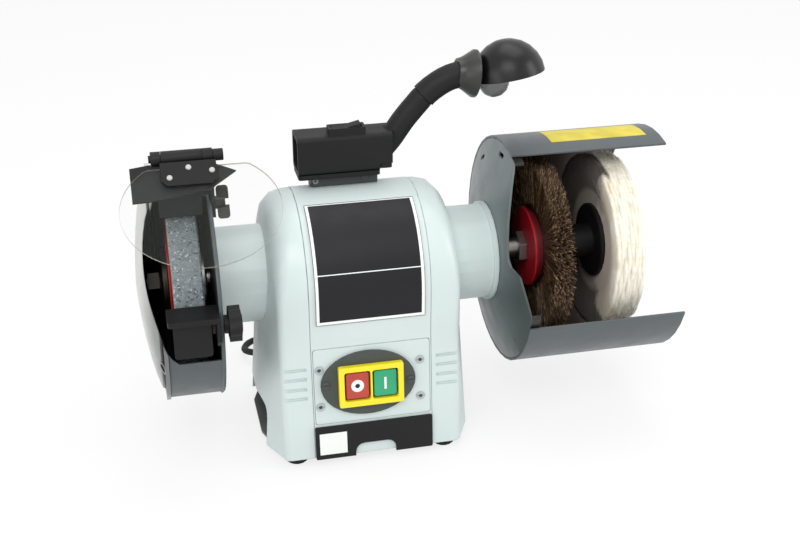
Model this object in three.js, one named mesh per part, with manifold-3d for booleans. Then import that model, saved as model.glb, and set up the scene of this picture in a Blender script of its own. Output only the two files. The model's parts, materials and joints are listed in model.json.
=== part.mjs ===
// Bench grinder polisher with lamp: a grinding wheel under a guard at the left, a wire brush and a
// cotton buff inside a drum guard at the right, one motor between them.
// Lengths are millimetres, +Z is up, the operator stands on the -Y side and +X is to the right.
import * as THREE from 'three';
import { mergeVertices } from 'three/addons/utils/BufferGeometryUtils.js';
import Module from 'manifold-3d';

const wasm = await Module();
wasm.setup();

// Clearances
const gap = 0.3;          // between two parts that sit on each other
const runGap = 0.06;      // radial play of the shaft in its bearings
const cutPast = 1;        // how far a cutting body reaches past the face that it opens

// Motor body
const axisHeight = 142;   // shaft axis above the floor
const bodyBottom = 9;     // lower edge of the castings above the floor
const crownRadius = 66;   // round top of the body, about the shaft axis
const kneeDrop = 35;       // below the axis; the front and rear faces flare out under this height
const kneeHeight = axisHeight - kneeDrop;
const baseHalfDepth = 76;
const seamHalf = 48;      // half width of the middle section between its two seams
const frontReach = 73;    // half width at the front corners of the end frames
const neckReach = 77;     // half width of the end frames around the neck
const footReach = 89;     // half width of the end frames at the floor, middle of their depth
const swellRise = 15;      // above the axis; the side faces swell out under this height
const swellTop = axisHeight + swellRise;
const cornerRadius = 6;
const shoulderRadius = 21;
const bellWall = 5;
const bellCore = 8;       // half depth left in the middle of a side face
const grooveLevels = [60.5, 68.5, 77, 85];
const grooveHeight = 2.4;
const grooveDepth = 1.4;
const grooveInset = 4;
const sideArchWidth = 92;    // opening in the foot of each side face
const sideArchHeight = 33;
const sideArchRadius = 9;
const sideArchDepth = 18;

// Necks, bearings and shaft
const neckRadius = 39;
const neckEndLeft = 114.3;
const neckEndRight = 111;
const neckRimRadius = 41;
const neckRimWidth = 4;
const neckRoot = 70;
const neckHollow = 31;
const neckWeb = 6;
const hubRadius = 26;
const bearingRadius = 20;
const bearingWidth = 12;
const bearingStart = 62;
const shaftBore = 12;
const shaftRadius = 8.5;
const rotorShaftRadius = 10;
const arborRadius = 6.5;
const arborEnd = 167;
const rightArborRadius = 8;
const rightArborEnd = 240;
const rightNutStart = 137;
const rightNutRadius = 14;
const rotorRadius = 31;
const rotorHalf = 30;
const airGap = 0.6;
const windingReach = 45;
const windingInner = 36;
const windingInset = 5.7;     // of the copper inside the stator's round face
const windingOuter = crownRadius - bellWall - gap - windingInset;
const windingRoundShare = 5 / 19;
const windingRound = (windingOuter - windingInner) * windingRoundShare;
const rotorRingReach = 38;
const rotorRingInner = 22;

// Base
const basePlateThickness = 2;
const basePlateInset = 4;
const footRadius = 9;
const footTopRadius = 7.6;
const footSpotX = 61;
const footSpotY = 60;
const bandTop = 36;
const bandThickness = 1.8;
const archCentre = 1;
const archWidth = 33;
const archHeight = 9.5;
const archRadius = 7;

// Rating plate on the crown, bare
const ratingHalf = 43;
const ratingThickness = 0.8;
const ratingTopAngle = 70.6;  // degrees above the front horizontal
const ratingDrop = 19;        // lower edge below the shaft axis

// Switch panel; heights are along the flared front face, measured from its middle
const panelMiddle = 69;
const panelHalf = 46.5;
const panelLow = -31;
const panelHigh = 33;
const panelThickness = 2.5;
const panelLedge = 5;
const panelScrewX = 40.5;
const panelScrewZ = 15.8;
const panelScrewShift = -1.8;
const screwHeadRadius = 3.6;
const screwHeadHeight = 0.9;
const screwSlotWidth = 1;
const screwSlotDepth = 0.5;
const switchRise = 2;         // middle of the switch above the panel's middle
const plateWidth = 76;
const plateHeight = 54;
const plateThickness = 2.5;
const plateShift = -3.7;
const plateScrewX = 34;
const plateScrewZ = 1.5;
const frameWidth = 51.7;
const frameHeight = 37;
const frameThickness = 5;
const frameShift = -2.15;
const frameRadius = 1.5;
const buttonWidth = 18;
const buttonHeight = 21.6;
const buttonPitch = 22.3;
const buttonRadius = 1.4;
const buttonPlay = 1.1;       // all round, inside the yellow frame
const buttonSink = 1.4;       // of a button's face behind the frame's front
const buttonTravel = 3;
const markRadius = 5;
const ringWidth = 3;
const barWidth = 1.8;
const markHeight = 0.4;
const blockDepth = 26;
const blockWidth = 50;
const blockHeight = 34;
const capacitorRadius = 15;
const capacitorHalf = 26;
const capacitorY = 30;

// Grinding wheel
const wheelRadius = 75;
const wheelLeft = 148.7;
const wheelRight = 126.2;
const wheelChamfer = 1.2;
const blotterRadius = 40;
const blotterThickness = 1;
const flangeRadius = 28;
const flangeThickness = 6;
const flangeRelief = 2;
const wheelNutRadius = 12.5;
const wheelNutHeight = 9;

// Left wheel guard
const guardPlateThickness = 3;
const guardGap = 16.6;        // from the wheel to the guard's outside
const guardRadius = wheelRadius + guardGap;
const guardRimLip = 1.4;
const guardRimRadius = guardRadius + guardRimLip;
const guardRimRound = 1.6;
const guardWall = 2;
const guardHole = 16;
const coverGap = 7.9;         // from the wheel's left face to the cover's rim
const coverRim = wheelLeft + coverGap;
const coverBulge = 18;        // of the cover's middle past its rim
const coverPower = 1.6;       // 2 gives a round dome, less gives a more pointed one
const coverSteps = 8;
const coverLip = 1.8;
const coverLipWidth = 3;
const coverWall = 2;
const windowRight = 112;      // past the guard's plate, so that its edge stays whole
const windowDepth = 34;       // the window opens the guard in front of this depth
// Left edge of the window, from its top: across, and above the shaft axis.
const windowEdge = [
  [-157, 85], [-163.2, 71], [-167, 52], [-168.3, 34], [-167.1, 18], [-163.3, 4.5], [-159.1, -9.5],
  [-155, -20.5], [-149, -28],
];
const windowSteps = 20;
const coverScrewAngle = -24;  // degrees below the front horizontal
const coverScrewSite = 20;    // degrees up the cover's bulge from its rim
const coverScrewRadius = 3.8;
const coverScrewRecess = 2.4;
const coverBossRadius = 5.6;
const studRadius = 3;
const studY = -36;
const studZ = 78;
const studReach = 5;          // of the stud into the wing nut

// Tool rest
const restRise = 14;          // table's top above the shaft axis
const restTop = axisHeight + restRise;
const restThickness = 4;
const restFront = 101;
const restBack = 77;
const restLeft = 155.6;
const wingThickness = 2.5;
const wingDrop = 11;
const wingBottom = axisHeight - wingDrop;
const wingCorner = 6;
const wingRearCorner = 4;
const wingBack = 70;
const boltY = 86;
const boltRise = 1.5;
const boltZ = axisHeight + boltRise;
const apronLeft = 152;        // plate that hangs down in front of the table
const apronRight = 124;
const apronFront = 95;
const apronThickness = 2;
const apronDrop = 19;
const restOut = 8;            // travel away from the wheel
const restIn = 2;             // travel toward the wheel
const boltHeadThickness = 2.4;
const boltHeadRadius = 6.5;
const knobRadius = 13.5;
const knobLobe = 1.9;
const knobLobes = 6;
const knobThickness = 9;
const knobHub = 7;
const knobHubHeight = 3.2;

// Eye shield
const pinY = -45.6;
const pinRise = 119.3;
const pinZ = axisHeight + pinRise;
const pinRadius = 3;
const pinLeft = 157.5;
const pinRight = 104;
const pinHead = 4.4;
const pinHeadLength = 7.5;
const barrelRadius = 5.4;
const barrelLeft = 148.6;
const barrelRight = 119.4;
const crossInset = 1.5;       // the bracket ends this far inside the pin's left end
const pegRise = 97.5;
const pegHeight = axisHeight + pegRise;
const holderOutline = [
  [-171.5, 6], [-156, 4], [-110, 7], [-96, 13.5], [-111.6, 23.5], [-116, 27], [-150, 32], [-171.5, 33],
];
const rivetSpots = [[-144, 17.7], [-113.5, 14], [-130, 10.5]];
const armThickness = 2.5;
const armWidth = 17;
const crossFront = -41.6;
const crossThickness = 2;
const crossDrop = 10.5;       // of the bracket's cross piece under the pegs
const crossBottom = pegHeight - crossDrop;
const shieldSlope = 44.46;    // degrees below the horizontal
const holderThickness = 2;
const shieldThickness = 2.4;
const shieldLeft = 181.5;
const shieldRight = 66;
const shieldTop = 9;          // from the pin, down the slope
const shieldMiddle = 43;
const shieldHalfHeight = 44;
const clampThickness = 2.2;
const clampLeft = 150;
const clampRight = 110;
const clampBottom = 24;
const rivetRadius = 1.9;
const rivetHeight = 0.8;
const deflectorThickness = 1.8;
const deflectorLeft = 153;
const deflectorRight = 121;
const deflectorTravel = 5;
const deflectorEdge = 5.5;    // of the plate above its pegs when it is let down all the way
const deflectorTop = pegHeight + deflectorTravel + deflectorEdge;
const deflectorDrop = 27.5;   // of the plate's lower edge under its pegs
const deflectorBottom = pegHeight - deflectorDrop;
const deflectorSlotX = 9;
const wingNutHub = 5;
const wingNutLength = 7.5;
const wingNutSpan = 12.5;
const wingNutThickness = 2.6;

// Lamp
const lampDepth = 16;         // depth of the lamp's middle plane behind the shaft axis
const lampLeft = -42.6;
const lampRight = 33;
const lampHalfDepth = 14;
const lampLift = 11;          // of the base above the top of the body
const lampBottom = axisHeight + crownRadius + lampLift;
const lampHeight = 31;
const lampTop = lampBottom + lampHeight;
const lampEdge = 3.5;
const lampRecess = 8;
const lampRecessWall = 3;
const lampNotch = 10;
const lampNotchHeight = 6;
const footLeft = -32;
const footRight = 22;
const footHalf = 9;
const footScrewRadius = 3.2;
const rockerLeft = -17.6;
const rockerRight = 12;
const rockerHalf = 6;
const rockerShift = -6;
const rockerFrame = 6;
const rockerWall = 2.4;
const rockerRise = 4.2;
const rockerSide = 1.6;       // of the key's ends under its pin
const rockerDip = 1.3;        // of the key's hollow top
const rockerTilt = 7;         // degrees, at rest on its off side
const neckLowRadius = 9.6;
const neckHighRadius = 10.4;
// Middle line of the neck: across, and above the top of the body.
const neckJointSpot = [59, 64];
const neckStartSpot = [26.5, 24];
const neckLowSpots = [[34, 32.5], [44.7, 47.5]];
const neckHighSpots = [[65.5, 70], [79.5, 78.4]];
const neckTopSpot = [93.5, 82.2];
const domeSpot = [131, 78];
const bulbSpot = [118.6, 73.5];
const aboveCrown = ([across, height]) => [across, axisHeight + crownRadius + height];
const [neckJointX, neckJointZ] = aboveCrown(neckJointSpot);
const neckStart = aboveCrown(neckStartSpot);
const neckLowBend = neckLowSpots.map(aboveCrown);
const neckHighBend = neckHighSpots.map(aboveCrown);
const neckTop = aboveCrown(neckTopSpot);
const neckRimBack = 2.6;
const [domeX, domeZ] = aboveCrown(domeSpot);
const domeRadius = 29;
const domeWall = 1.8;
const domeRoll = 9;           // degrees, right edge of the dome raised
const domePitch = 9;          // degrees, front edge of the dome raised
const cupMouth = 19;
const cupMouthEdge = 2;
const cupWall = 1.8;
const cupBoss = 8;            // middle of the cup, where the dome sits against it
const cupReach = 1;           // of the mouth past the dome's nearest point
const cupThroat = 14;
const cupSleeve = 6;          // of the cup over the neck's end
const cupSleeveWall = 1.9;
const [bulbX, bulbZ] = aboveCrown(bulbSpot);
const bulbRadius = 12.6;
const bulbNeck = 5.5;
const bulbCollar = 1.5;       // of the neck's start past the glass ball
const bulbStem = 6;
const bulbSteps = 6;
const domeSteps = 6;
const socketGap = 1;          // between the glass ball and the socket
const socketBore = 7;
const socketRadius = 8.2;
const socketTilt = 17;        // degrees, socket axis leans toward the dome's middle

// Drum guard
const drumRadius = 94;
const drumWall = 1.8;
const drumLeft = 123;
const drumRight = 253;
const drumFlat = 52;
const drumFlange = 8;
const drumTopAngle = 75;      // degrees above the front horizontal
const drumLowAngle = -19;
const drumEdge = [[-31, 85], [-41, 57], [-54, 16], [-59, 10.5], [-72, 7.5], [-82, -7.5], [-91, -25]];
const drumSlots = [[-3, 84, 2], [41, 66, 32], [-62, -58, 133]];
const drumSlotLength = 12;
const drumSlotWidth = 3.6;

// Brush and buff
const brushLeft = 147;
const brushWidth = 18;
const brushRight = brushLeft + brushWidth;
const brushRadius = 75;
const brushFlange = 33.5;
const brushFlangeThickness = 3;
const brushHub = 30;
const bristleRoot = 31.6;
const bristleThickness = 0.8;
const bristleRows = 3;
const bristlesPerRow = 50;
const bristleLean = 1.1;
const bristleJitter = 1.6;
const bristleSplit = 0.6;     // degrees left open at each end of a half ring
const halfTurn = 180;
const sleeveLength = 32.9;    // between the brush and the buff's flange
const buffFlangeThickness = 3.5;
const buffLeft = brushRight + brushFlangeThickness + gap + sleeveLength + buffFlangeThickness + gap;
const buffWidth = 16;
const buffRight = buffLeft + buffWidth;
const buffRadius = 75;
const buffPlies = 4;
const buffPlyDepth = 2.6;
const buffPinch = 40;         // the cloth is pressed flat inside this radius
const buffLoose = 60;         // and stands free outside this one
const buffSpreadLeft = 6;     // how far the free cloth bulges past the pressed middle
const buffSpreadRight = 2;
const buffFold = 0.12;        // share of a ply's width in the fold between two plies
const buffFlange = 31;
const sleeveRadius = 14;
const outerNutHeight = 10;
const outerNutRadius = 14;

// Mains cord
const cordRadius = 3;
const cordLift = 3.3;         // centre line of the cord where it lies on the floor
const glandX = -52.5;
const glandZ = 17.5;
const glandRadius = 8;
const glandThickness = 6;
const glandChamfer = 1;
const glandSink = 0.9;        // share of the flange that the boot's root sits above
const bootLength = 30;
const bootRoot = 5.6;
const bootTip = 3.9;
const bootHeading = 136;      // degrees from +X toward +Y
const bootDrop = 12;          // degrees
// Cord's way to the coil: along X and Y from the boot's tip, then a share of the tip's height.
const cordRoute = [
  [0, 0, 1], [-2.9, 3, 0.89], [-5.4, 6.4, 0.75], [-7.3, 10.2, 0.61], [-8.5, 14.3, 0.47],
  [-8.7, 18.5, 0.34], [-7.9, 23.2, 0.23], [-6.1, 28.2, 0.15], [-3.1, 33, 0.09], [1.3, 37.1, 0.04],
  [6.3, 39.8, 0.01], [11.6, 41.2, 0], [17.8, 41.6, 0], [25.8, 41.6, 0], [33.8, 41.6, 0],
  [41.8, 41.6, 0], [49.4, 41.6, 0],
];
const coilOuter = 47;
const coilPitch = 6.6;
const coilLayer = 6.6;
const coilTurns = 7;
const coilEase = 0.16;        // share of a turn over which the spiral turns round
const coilSides = 6;
const coilTail = 20;          // straight end of the coil into the plug
const coilStepsPerTurn = 24;
const cordRings = 18;
const cordSides = 8;
const plugLength = 36;
const plugWidth = 26;
const plugHeight = 18;
const plugTail = 16;
const pinLength = 19;
const plugPinRadius = 2.2;
const plugPinPitch = 9.5;

// Facet counts
const fine = 38;
const journal = 30;
const round = 24;
const coarse = 14;
const statorFacets = 20;
const small = 8;

const paint = {
  casting: { color: 0xd6e2e0, roughness: 0.45, metalness: 0.1 },
  guard: { color: 0x5f6b6d, roughness: 0.4, metalness: 0.4 },
  cover: { color: 0xbec3c0, roughness: 0.35, metalness: 0.4 },
  drum: { color: 0x5f676c, roughness: 0.45, metalness: 0.4 },
  black: { color: 0x2b2b2d, roughness: 0.55, metalness: 0.0 },
  steel: { color: 0xb4b4b4, roughness: 0.3, metalness: 1.0 },
  copper: { color: 0xa8623a, roughness: 0.4, metalness: 0.8 },
  abrasive: { color: 0x84888a, roughness: 0.95, metalness: 0.0 },
  red: { color: 0xbe1e2d, roughness: 0.4, metalness: 0.1 },
  yellow: { color: 0xf0e135, roughness: 0.45, metalness: 0.0 },
  green: { color: 0x3caa78, roughness: 0.45, metalness: 0.0 },
  clear: { color: 0xcfd8d6, roughness: 0.1, metalness: 0.0 },
  wire: { color: 0x7a5c34, roughness: 0.4, metalness: 0.8 },
  cotton: { color: 0xf0e8d7, roughness: 0.95, metalness: 0.0 },
  rubber: { color: 0x1d1d1e, roughness: 0.8, metalness: 0.0 },
};
const materials = Object.fromEntries(
  Object.entries(paint).map(([key, value]) => [key, new THREE.MeshStandardMaterial(value)]),
);

const rad = (degrees) => (degrees * Math.PI) / 180;
const lerp = (a, b, t) => a + (b - a) * t;

// Turns a three.js geometry into a watertight solid, with its faces looking outward.
function solid(geometry) {
  const bare = geometry.clone();
  bare.deleteAttribute('normal');
  bare.deleteAttribute('uv');
  const merged = mergeVertices(bare, 1e-4);
  const at = merged.attributes.position.array;
  const index = merged.index.array;
  const faces = [];
  let volume = 0;
  for (let i = 0; i < index.length; i += 3) {
    const [a, b, c] = [index[i], index[i + 1], index[i + 2]];
    if (a !== b && b !== c && c !== a) {
      faces.push(a, b, c);
      const [p, q, r] = [a, b, c].map((k) => new THREE.Vector3().fromArray(at, 3 * k));
      volume += p.dot(q.cross(r));
    }
  }
  if (volume < 0) faces.reverse();
  return new wasm.Manifold(new wasm.Mesh({
    numProp: 3,
    vertProperties: new Float32Array(at),
    triVerts: new Uint32Array(faces),
  }));
}

const join = (first, ...rest) => rest.reduce((a, b) => a.add(b), first);
const cut = (first, ...rest) => rest.reduce((a, b) => a.subtract(b), first);
const overlap = (a, b) => a.intersect(b);

function moved(geometry, matrix) {
  return geometry.clone().applyMatrix4(matrix);
}

const basis = (x, y, z, origin = [0, 0, 0]) => new THREE.Matrix4()
  .makeBasis(new THREE.Vector3(...x), new THREE.Vector3(...y), new THREE.Vector3(...z))
  .setPosition(...origin);

function outline(points, holes = []) {
  const shape = new THREE.Shape(points.map(([u, v]) => new THREE.Vector2(u, v)));
  for (const hole of holes) {
    shape.holes.push(new THREE.Path(hole.map(([u, v]) => new THREE.Vector2(u, v))));
  }
  return shape;
}

function extruded(points, depth, holes) {
  return new THREE.ExtrudeGeometry(outline(points, holes), { depth, bevelEnabled: false });
}

// Slabs: an outline in one plane, pushed along the axis that is named.
function slabX(points, x0, x1, holes) {
  return solid(moved(extruded(points, x1 - x0, holes), basis([0, 1, 0], [0, 0, 1], [1, 0, 0], [x0, 0, 0])));
}
function slabY(points, y0, y1, holes) {
  return solid(moved(extruded(points, y1 - y0, holes), basis([1, 0, 0], [0, 0, 1], [0, -1, 0], [0, y1, 0])));
}
function slabZ(points, z0, z1, holes) {
  return solid(moved(extruded(points, z1 - z0, holes), basis([1, 0, 0], [0, 1, 0], [0, 0, 1], [0, 0, z0])));
}

// Turned parts: profile points are [radius, distance along the axis].
function turned(profile, steps, matrix) {
  const points = profile.map(([r, h]) => new THREE.Vector2(r, h));
  return solid(moved(new THREE.LatheGeometry(points, steps), matrix));
}
const aboutX = (z = 0, y = 0) => basis([0, 1, 0], [1, 0, 0], [0, 0, -1], [0, y, z]);
const turnedX = (profile, steps, z = axisHeight, y = 0) => turned(profile, steps, aboutX(z, y));

// A matrix that lays the turning axis of a turned part along a direction from a point.
function along(origin, direction) {
  const way = new THREE.Vector3(...direction).normalize();
  const turn = new THREE.Quaternion().setFromUnitVectors(new THREE.Vector3(0, 1, 0), way);
  return new THREE.Matrix4().compose(new THREE.Vector3(...origin), turn, new THREE.Vector3(1, 1, 1));
}

function rodX(radius, x0, x1, y, z, steps = small) {
  return turnedX([[0, x0], [radius, x0], [radius, x1], [0, x1]], steps, z, y);
}
function rod(radius, origin, direction, length, steps = small) {
  return turned([[0, 0], [radius, 0], [radius, length], [0, length]], steps, along(origin, direction));
}

function hexNut(radius, bore, x0, x1) {
  return slabX(disc(0, axisHeight, radius, 6), x0, x1, [disc(0, axisHeight, bore, round).reverse()]);
}

function box(x0, x1, y0, y1, z0, z1) {
  const geometry = new THREE.BoxGeometry(x1 - x0, y1 - y0, z1 - z0);
  geometry.translate((x0 + x1) / 2, (y0 + y1) / 2, (z0 + z1) / 2);
  return solid(geometry);
}

function ball(radius, x, y, z, steps = coarse) {
  const geometry = new THREE.SphereGeometry(radius, steps, steps / 2);
  geometry.translate(x, y, z);
  return solid(geometry);
}

function roundedBox(u0, u1, v0, v1, radius, steps = 4) {
  const corners = [[u1, v0, -1], [u1, v1, 0], [u0, v1, 1], [u0, v0, 2]];
  return corners.flatMap(([u, v, start]) => {
    const cu = u - Math.sign(u - (u0 + u1) / 2) * radius;
    const cv = v - Math.sign(v - (v0 + v1) / 2) * radius;
    return Array.from({ length: steps + 1 }, (_, i) => {
      const a = (Math.PI / 2) * (start + i / steps);
      return [cu + radius * Math.cos(a), cv + radius * Math.sin(a)];
    });
  });
}

function disc(u, v, radius, steps = coarse) {
  return Array.from({ length: steps }, (_, i) => {
    const a = (2 * Math.PI * i) / steps;
    return [u + radius * Math.cos(a), v + radius * Math.sin(a)];
  });
}

// Points on an arc about the shaft axis; the angle is measured up from the front horizontal.
function arcYZ(radius, from, to, steps) {
  return Array.from({ length: steps + 1 }, (_, i) => {
    const a = rad(lerp(from, to, i / steps));
    return [-radius * Math.cos(a), axisHeight + radius * Math.sin(a)];
  });
}

// Skin over a stack of rings with equal point counts; the end rings are closed by strips between
// their front and rear halves.
function loft(rings) {
  const count = rings[0].length;
  const corners = rings.flat(2);
  const faces = [];
  for (let k = 0; k + 1 < rings.length; k += 1) {
    for (let i = 0; i < count; i += 1) {
      const j = (i + 1) % count;
      const [a, b, c, d] = [k * count + i, k * count + j, (k + 1) * count + j, (k + 1) * count + i];
      faces.push(a, b, c, a, c, d);
    }
  }
  const close = (start, flip) => {
    for (let i = 0; 2 * i + 2 < count; i += 1) {
      const [a, b, c, d] = [i, i + 1, count - 2 - i, count - 1 - i].map((n) => n + start);
      const strip = b === c ? [a, b, d] : [a, b, c, a, c, d];
      faces.push(...(flip ? strip.reverse() : strip));
    }
  };
  close(0, true);
  close((rings.length - 1) * count, false);
  const geometry = new THREE.BufferGeometry();
  geometry.setAttribute('position', new THREE.BufferAttribute(new Float32Array(corners), 3));
  geometry.setIndex(faces);
  return solid(geometry);
}

function sweep(curve, radius, steps, sides) {
  const ring = outline(disc(0, 0, radius, sides));
  return solid(new THREE.ExtrudeGeometry(ring, { steps, extrudePath: curve, bevelEnabled: false }));
}

const group = new THREE.Group();
group.name = 'bench_grinder_polisher';
const tools = new THREE.Group();
tools.name = 'grinder_body';
group.add(tools);

function part(name, body, material) {
  const skin = body.getMesh();
  const geometry = new THREE.BufferGeometry();
  geometry.setAttribute('position', new THREE.BufferAttribute(new Float32Array(skin.vertProperties), 3));
  geometry.setIndex([...skin.triVerts]);
  const flat = geometry.toNonIndexed();
  flat.computeVertexNormals();
  const mesh = new THREE.Mesh(flat, materials[material]);
  mesh.name = name;
  tools.add(mesh);
  return mesh;
}

// Half depth of the body at a height.
function halfDepth(z) {
  if (z >= kneeHeight) return crownRadius;
  return lerp(baseHalfDepth, crownRadius, (z - bodyBottom) / (kneeHeight - bodyBottom));
}
const flareAngle = Math.atan2(baseHalfDepth - crownRadius, kneeHeight - bodyBottom);

// Body outline seen from the side, drawn inward by an inset, open at the bottom down to a height.
function bodyOutline(inset, bottom, steps) {
  const side = [bottom, kneeHeight].map((z) => [halfDepth(z) - inset, z]);
  return [
    ...side.map(([y, z]) => [-y, z]),
    ...arcYZ(crownRadius - inset, 0, 180, steps),
    ...side.reverse(),
  ];
}

// Frame of the flared front face: x across, z up the face, -y out of it.
const faceFrame = new THREE.Matrix4()
  .makeRotationX(-flareAngle)
  .setPosition(0, -halfDepth(panelMiddle), panelMiddle);
function onFace(points, out0, out1, holes) {
  const flat = moved(
    extruded(points, out1 - out0, holes),
    basis([1, 0, 0], [0, 0, 1], [0, -1, 0], [0, -out0, 0]),
  );
  return solid(moved(flat, faceFrame));
}

// Slotted round screw heads on the front face, joined to the plate that they hold.
function faceScrews(spots, base) {
  const heads = spots.map(([x, z]) => {
    const head = onFace(disc(x, z, screwHeadRadius, small), base - gap, base + screwHeadHeight);
    const slot = onFace(
      roundedBox(x - screwHeadRadius, x + screwHeadRadius, z - screwSlotWidth / 2, z + screwSlotWidth / 2, 0.1, 1),
      base + screwHeadHeight - screwSlotDepth,
      base + screwHeadHeight + cutPast,
    );
    return cut(head, slot);
  });
  return join(...heads);
}

function archCutter(out0, out1) {
  const low = (bodyBottom - panelMiddle) / Math.cos(flareAngle);
  const shape = roundedBox(
    archCentre - archWidth / 2, archCentre + archWidth / 2, low - archHeight, low + archHeight, archRadius,
  );
  return onFace(shape, out0, out1);
}

// Centre section of the body: an arched casting, open below and at both ends.
function makeMotorHousing() {
  const half = seamHalf - gap / 2;
  const outer = slabX(bodyOutline(0, bodyBottom, round), -half, half);
  const inner = slabX(bodyOutline(bellWall, bodyBottom - cutPast, round), -seamHalf, seamHalf);
  const opening = onFace(
    roundedBox(-panelHalf - gap, panelHalf + gap, panelLow - gap, panelHigh + gap, 2),
    -panelThickness - gap, cutPast,
  );
  const through = onFace(
    roundedBox(-panelHalf + panelLedge, panelHalf - panelLedge, panelLow + panelLedge, panelHigh - panelLedge, 2),
    -2 * bellWall, cutPast,
  );
  part('motor_housing', cut(outer, inner, opening, through), 'casting');
}

// End frames: swelling side face, round shoulders, hollow inside, with a neck around the shaft.
function bellStations(bottom) {
  const low = [0, 1, 2].map((i) => lerp(bottom, kneeHeight, i / 2));
  const levels = [...low, axisHeight];
  const arc = Array.from({ length: 11 }, (_, i) => ({ angle: (Math.PI * (i + 1)) / 12 }));
  return [
    ...levels.map((z) => ({ side: -1, z })),
    ...arc,
    ...levels.reverse().map((z) => ({ side: 1, z })),
  ];
}

function bellLoft(sign, shrink, start, bottom, bendAngles, sideShares) {
  const stations = bellStations(bottom);
  const ring = (insetOf, reachOf) => stations.map((s) => {
    const height = s.side ? s.z : axisHeight + crownRadius * Math.sin(s.angle);
    const bend = s.side ? cornerRadius : lerp(cornerRadius, shoulderRadius, Math.sin(s.angle));
    const inset = insetOf(bend) + shrink;
    const x = sign * (reachOf(bend, height) - shrink);
    if (s.side) return [x, s.side * (halfDepth(s.z) - inset), s.z];
    const r = crownRadius - inset;
    return [x, -r * Math.cos(s.angle), axisHeight + r * Math.sin(s.angle)];
  });
  const swell = (z) => lerp(footReach, neckReach, Math.min(1, (z - bodyBottom) / (swellTop - bodyBottom)));
  const first = ring(() => 0, () => start + shrink);
  const corner = bendAngles.map((a) => ring(
    (bend) => bend * (1 - Math.cos(rad(a))),
    (bend) => frontReach - bend + bend * Math.sin(rad(a)),
  ));
  const depth = crownRadius - bellCore - shrink;
  const side = sideShares.map((share) => ring(
    (bend) => lerp(bend, depth, share),
    (bend, z) => lerp(frontReach, swell(z), 1 - (1 - share) ** 2),
  ));
  return loft([first, ...corner, ...side]);
}

function makeEndFrame(sign, name, neckEnd) {
  const start = seamHalf + gap / 2;
  const shell = cut(
    bellLoft(sign, 0, start, bodyBottom, [0, 30, 60, 90], [0.4, 1]),
    bellLoft(sign, bellWall, start - cutPast, bodyBottom - cutPast, [0, 90], [1]),
  );
  const pocket = bearingRadius + gap;
  const pocketEnd = bearingStart + bearingWidth + gap;
  const rim = sign > 0 ? neckRimRadius : neckRadius;
  const neck = [
    [pocket, bearingStart], [hubRadius, bearingStart], [hubRadius, neckRoot - neckWeb],
    [neckRadius, neckRoot], [neckRadius, neckEnd - neckRimWidth], [rim, neckEnd - neckRimWidth],
    [rim, neckEnd], [neckHollow, neckEnd], [neckHollow, pocketEnd + neckWeb], [shaftBore, pocketEnd + neckWeb],
    [shaftBore, pocketEnd], [pocket, pocketEnd], [pocket, bearingStart],
  ].map(([r, x]) => [r, sign * x]);
  const room = [
    [0, bearingStart - cutPast], [neckRadius, bearingStart - cutPast], [neckRadius, neckEnd], [0, neckEnd],
  ];
  const opened = cut(shell, turnedX(room.map(([r, x]) => [r - bellWall / 2 * (r > 0), sign * x]), round));
  let frame = join(opened, turnedX(neck, round));
  for (const z of grooveLevels) {
    const front = halfDepth(z);
    const groove = [start + grooveInset, frontReach + cutPast].map((x) => sign * x).sort((a, b) => a - b);
    frame = cut(frame, box(groove[0], groove[1], -front - cutPast, -front + grooveDepth, z, z + grooveHeight));
  }
  const sideReach = footReach - sideArchDepth;
  const recess = [sideReach, footReach + cutPast].map((x) => sign * x).sort((a, b) => a - b);
  const arch = roundedBox(
    -sideArchWidth / 2, sideArchWidth / 2, bodyBottom - sideArchHeight, bodyBottom + sideArchHeight,
    sideArchRadius,
  );
  part(name, cut(frame, slabX(arch, recess[0], recess[1])), 'casting');
}

function makeBase() {
  const top = bodyBottom - gap;
  const inset = basePlateInset;
  const [front, mid] = [baseHalfDepth - inset, baseHalfDepth / 3];
  const quarter = [
    [frontReach - inset, -front], [footReach - inset, -mid], [footReach - inset, mid], [frontReach - inset, front],
  ];
  const shape = [...quarter, ...quarter.map(([x, y]) => [-x, -y])];
  part('base_plate', slabZ(shape, top - basePlateThickness, top), 'steel');
  const footTop = top - basePlateThickness - gap;
  for (const [name, sx, sy] of [['foot_front_left', -1, -1], ['foot_front_right', 1, -1],
    ['foot_rear_left', -1, 1], ['foot_rear_right', 1, 1]]) {
    const profile = [[0, 0], [footRadius - 1, 0], [footRadius, 1], [footTopRadius, footTop], [0, footTop]];
    part(name, turned(profile, coarse, along([sx * footSpotX, sy * footSpotY, 0], [0, 0, 1])), 'rubber');
  }
  const low = (bodyBottom - 1 - panelMiddle) / Math.cos(flareAngle);
  const high = (bandTop - panelMiddle) / Math.cos(flareAngle);
  const half = seamHalf - gap;
  const strip = onFace(roundedBox(-half, half, low, high, 1, 2), gap, gap + bandThickness);
  part('base_band', cut(strip, archCutter(0, 2 * bandThickness)), 'black');
}

function makeRatingPlate() {
  const inner = crownRadius + gap;
  const outer = inner + ratingThickness;
  const shape = [
    [-inner, axisHeight - ratingDrop], ...arcYZ(inner, 0, ratingTopAngle, small),
    ...arcYZ(outer, ratingTopAngle, 0, small), [-outer, axisHeight - ratingDrop],
  ];
  part('rating_plate', slabX(shape, -ratingHalf, ratingHalf), 'black');
}

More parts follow.
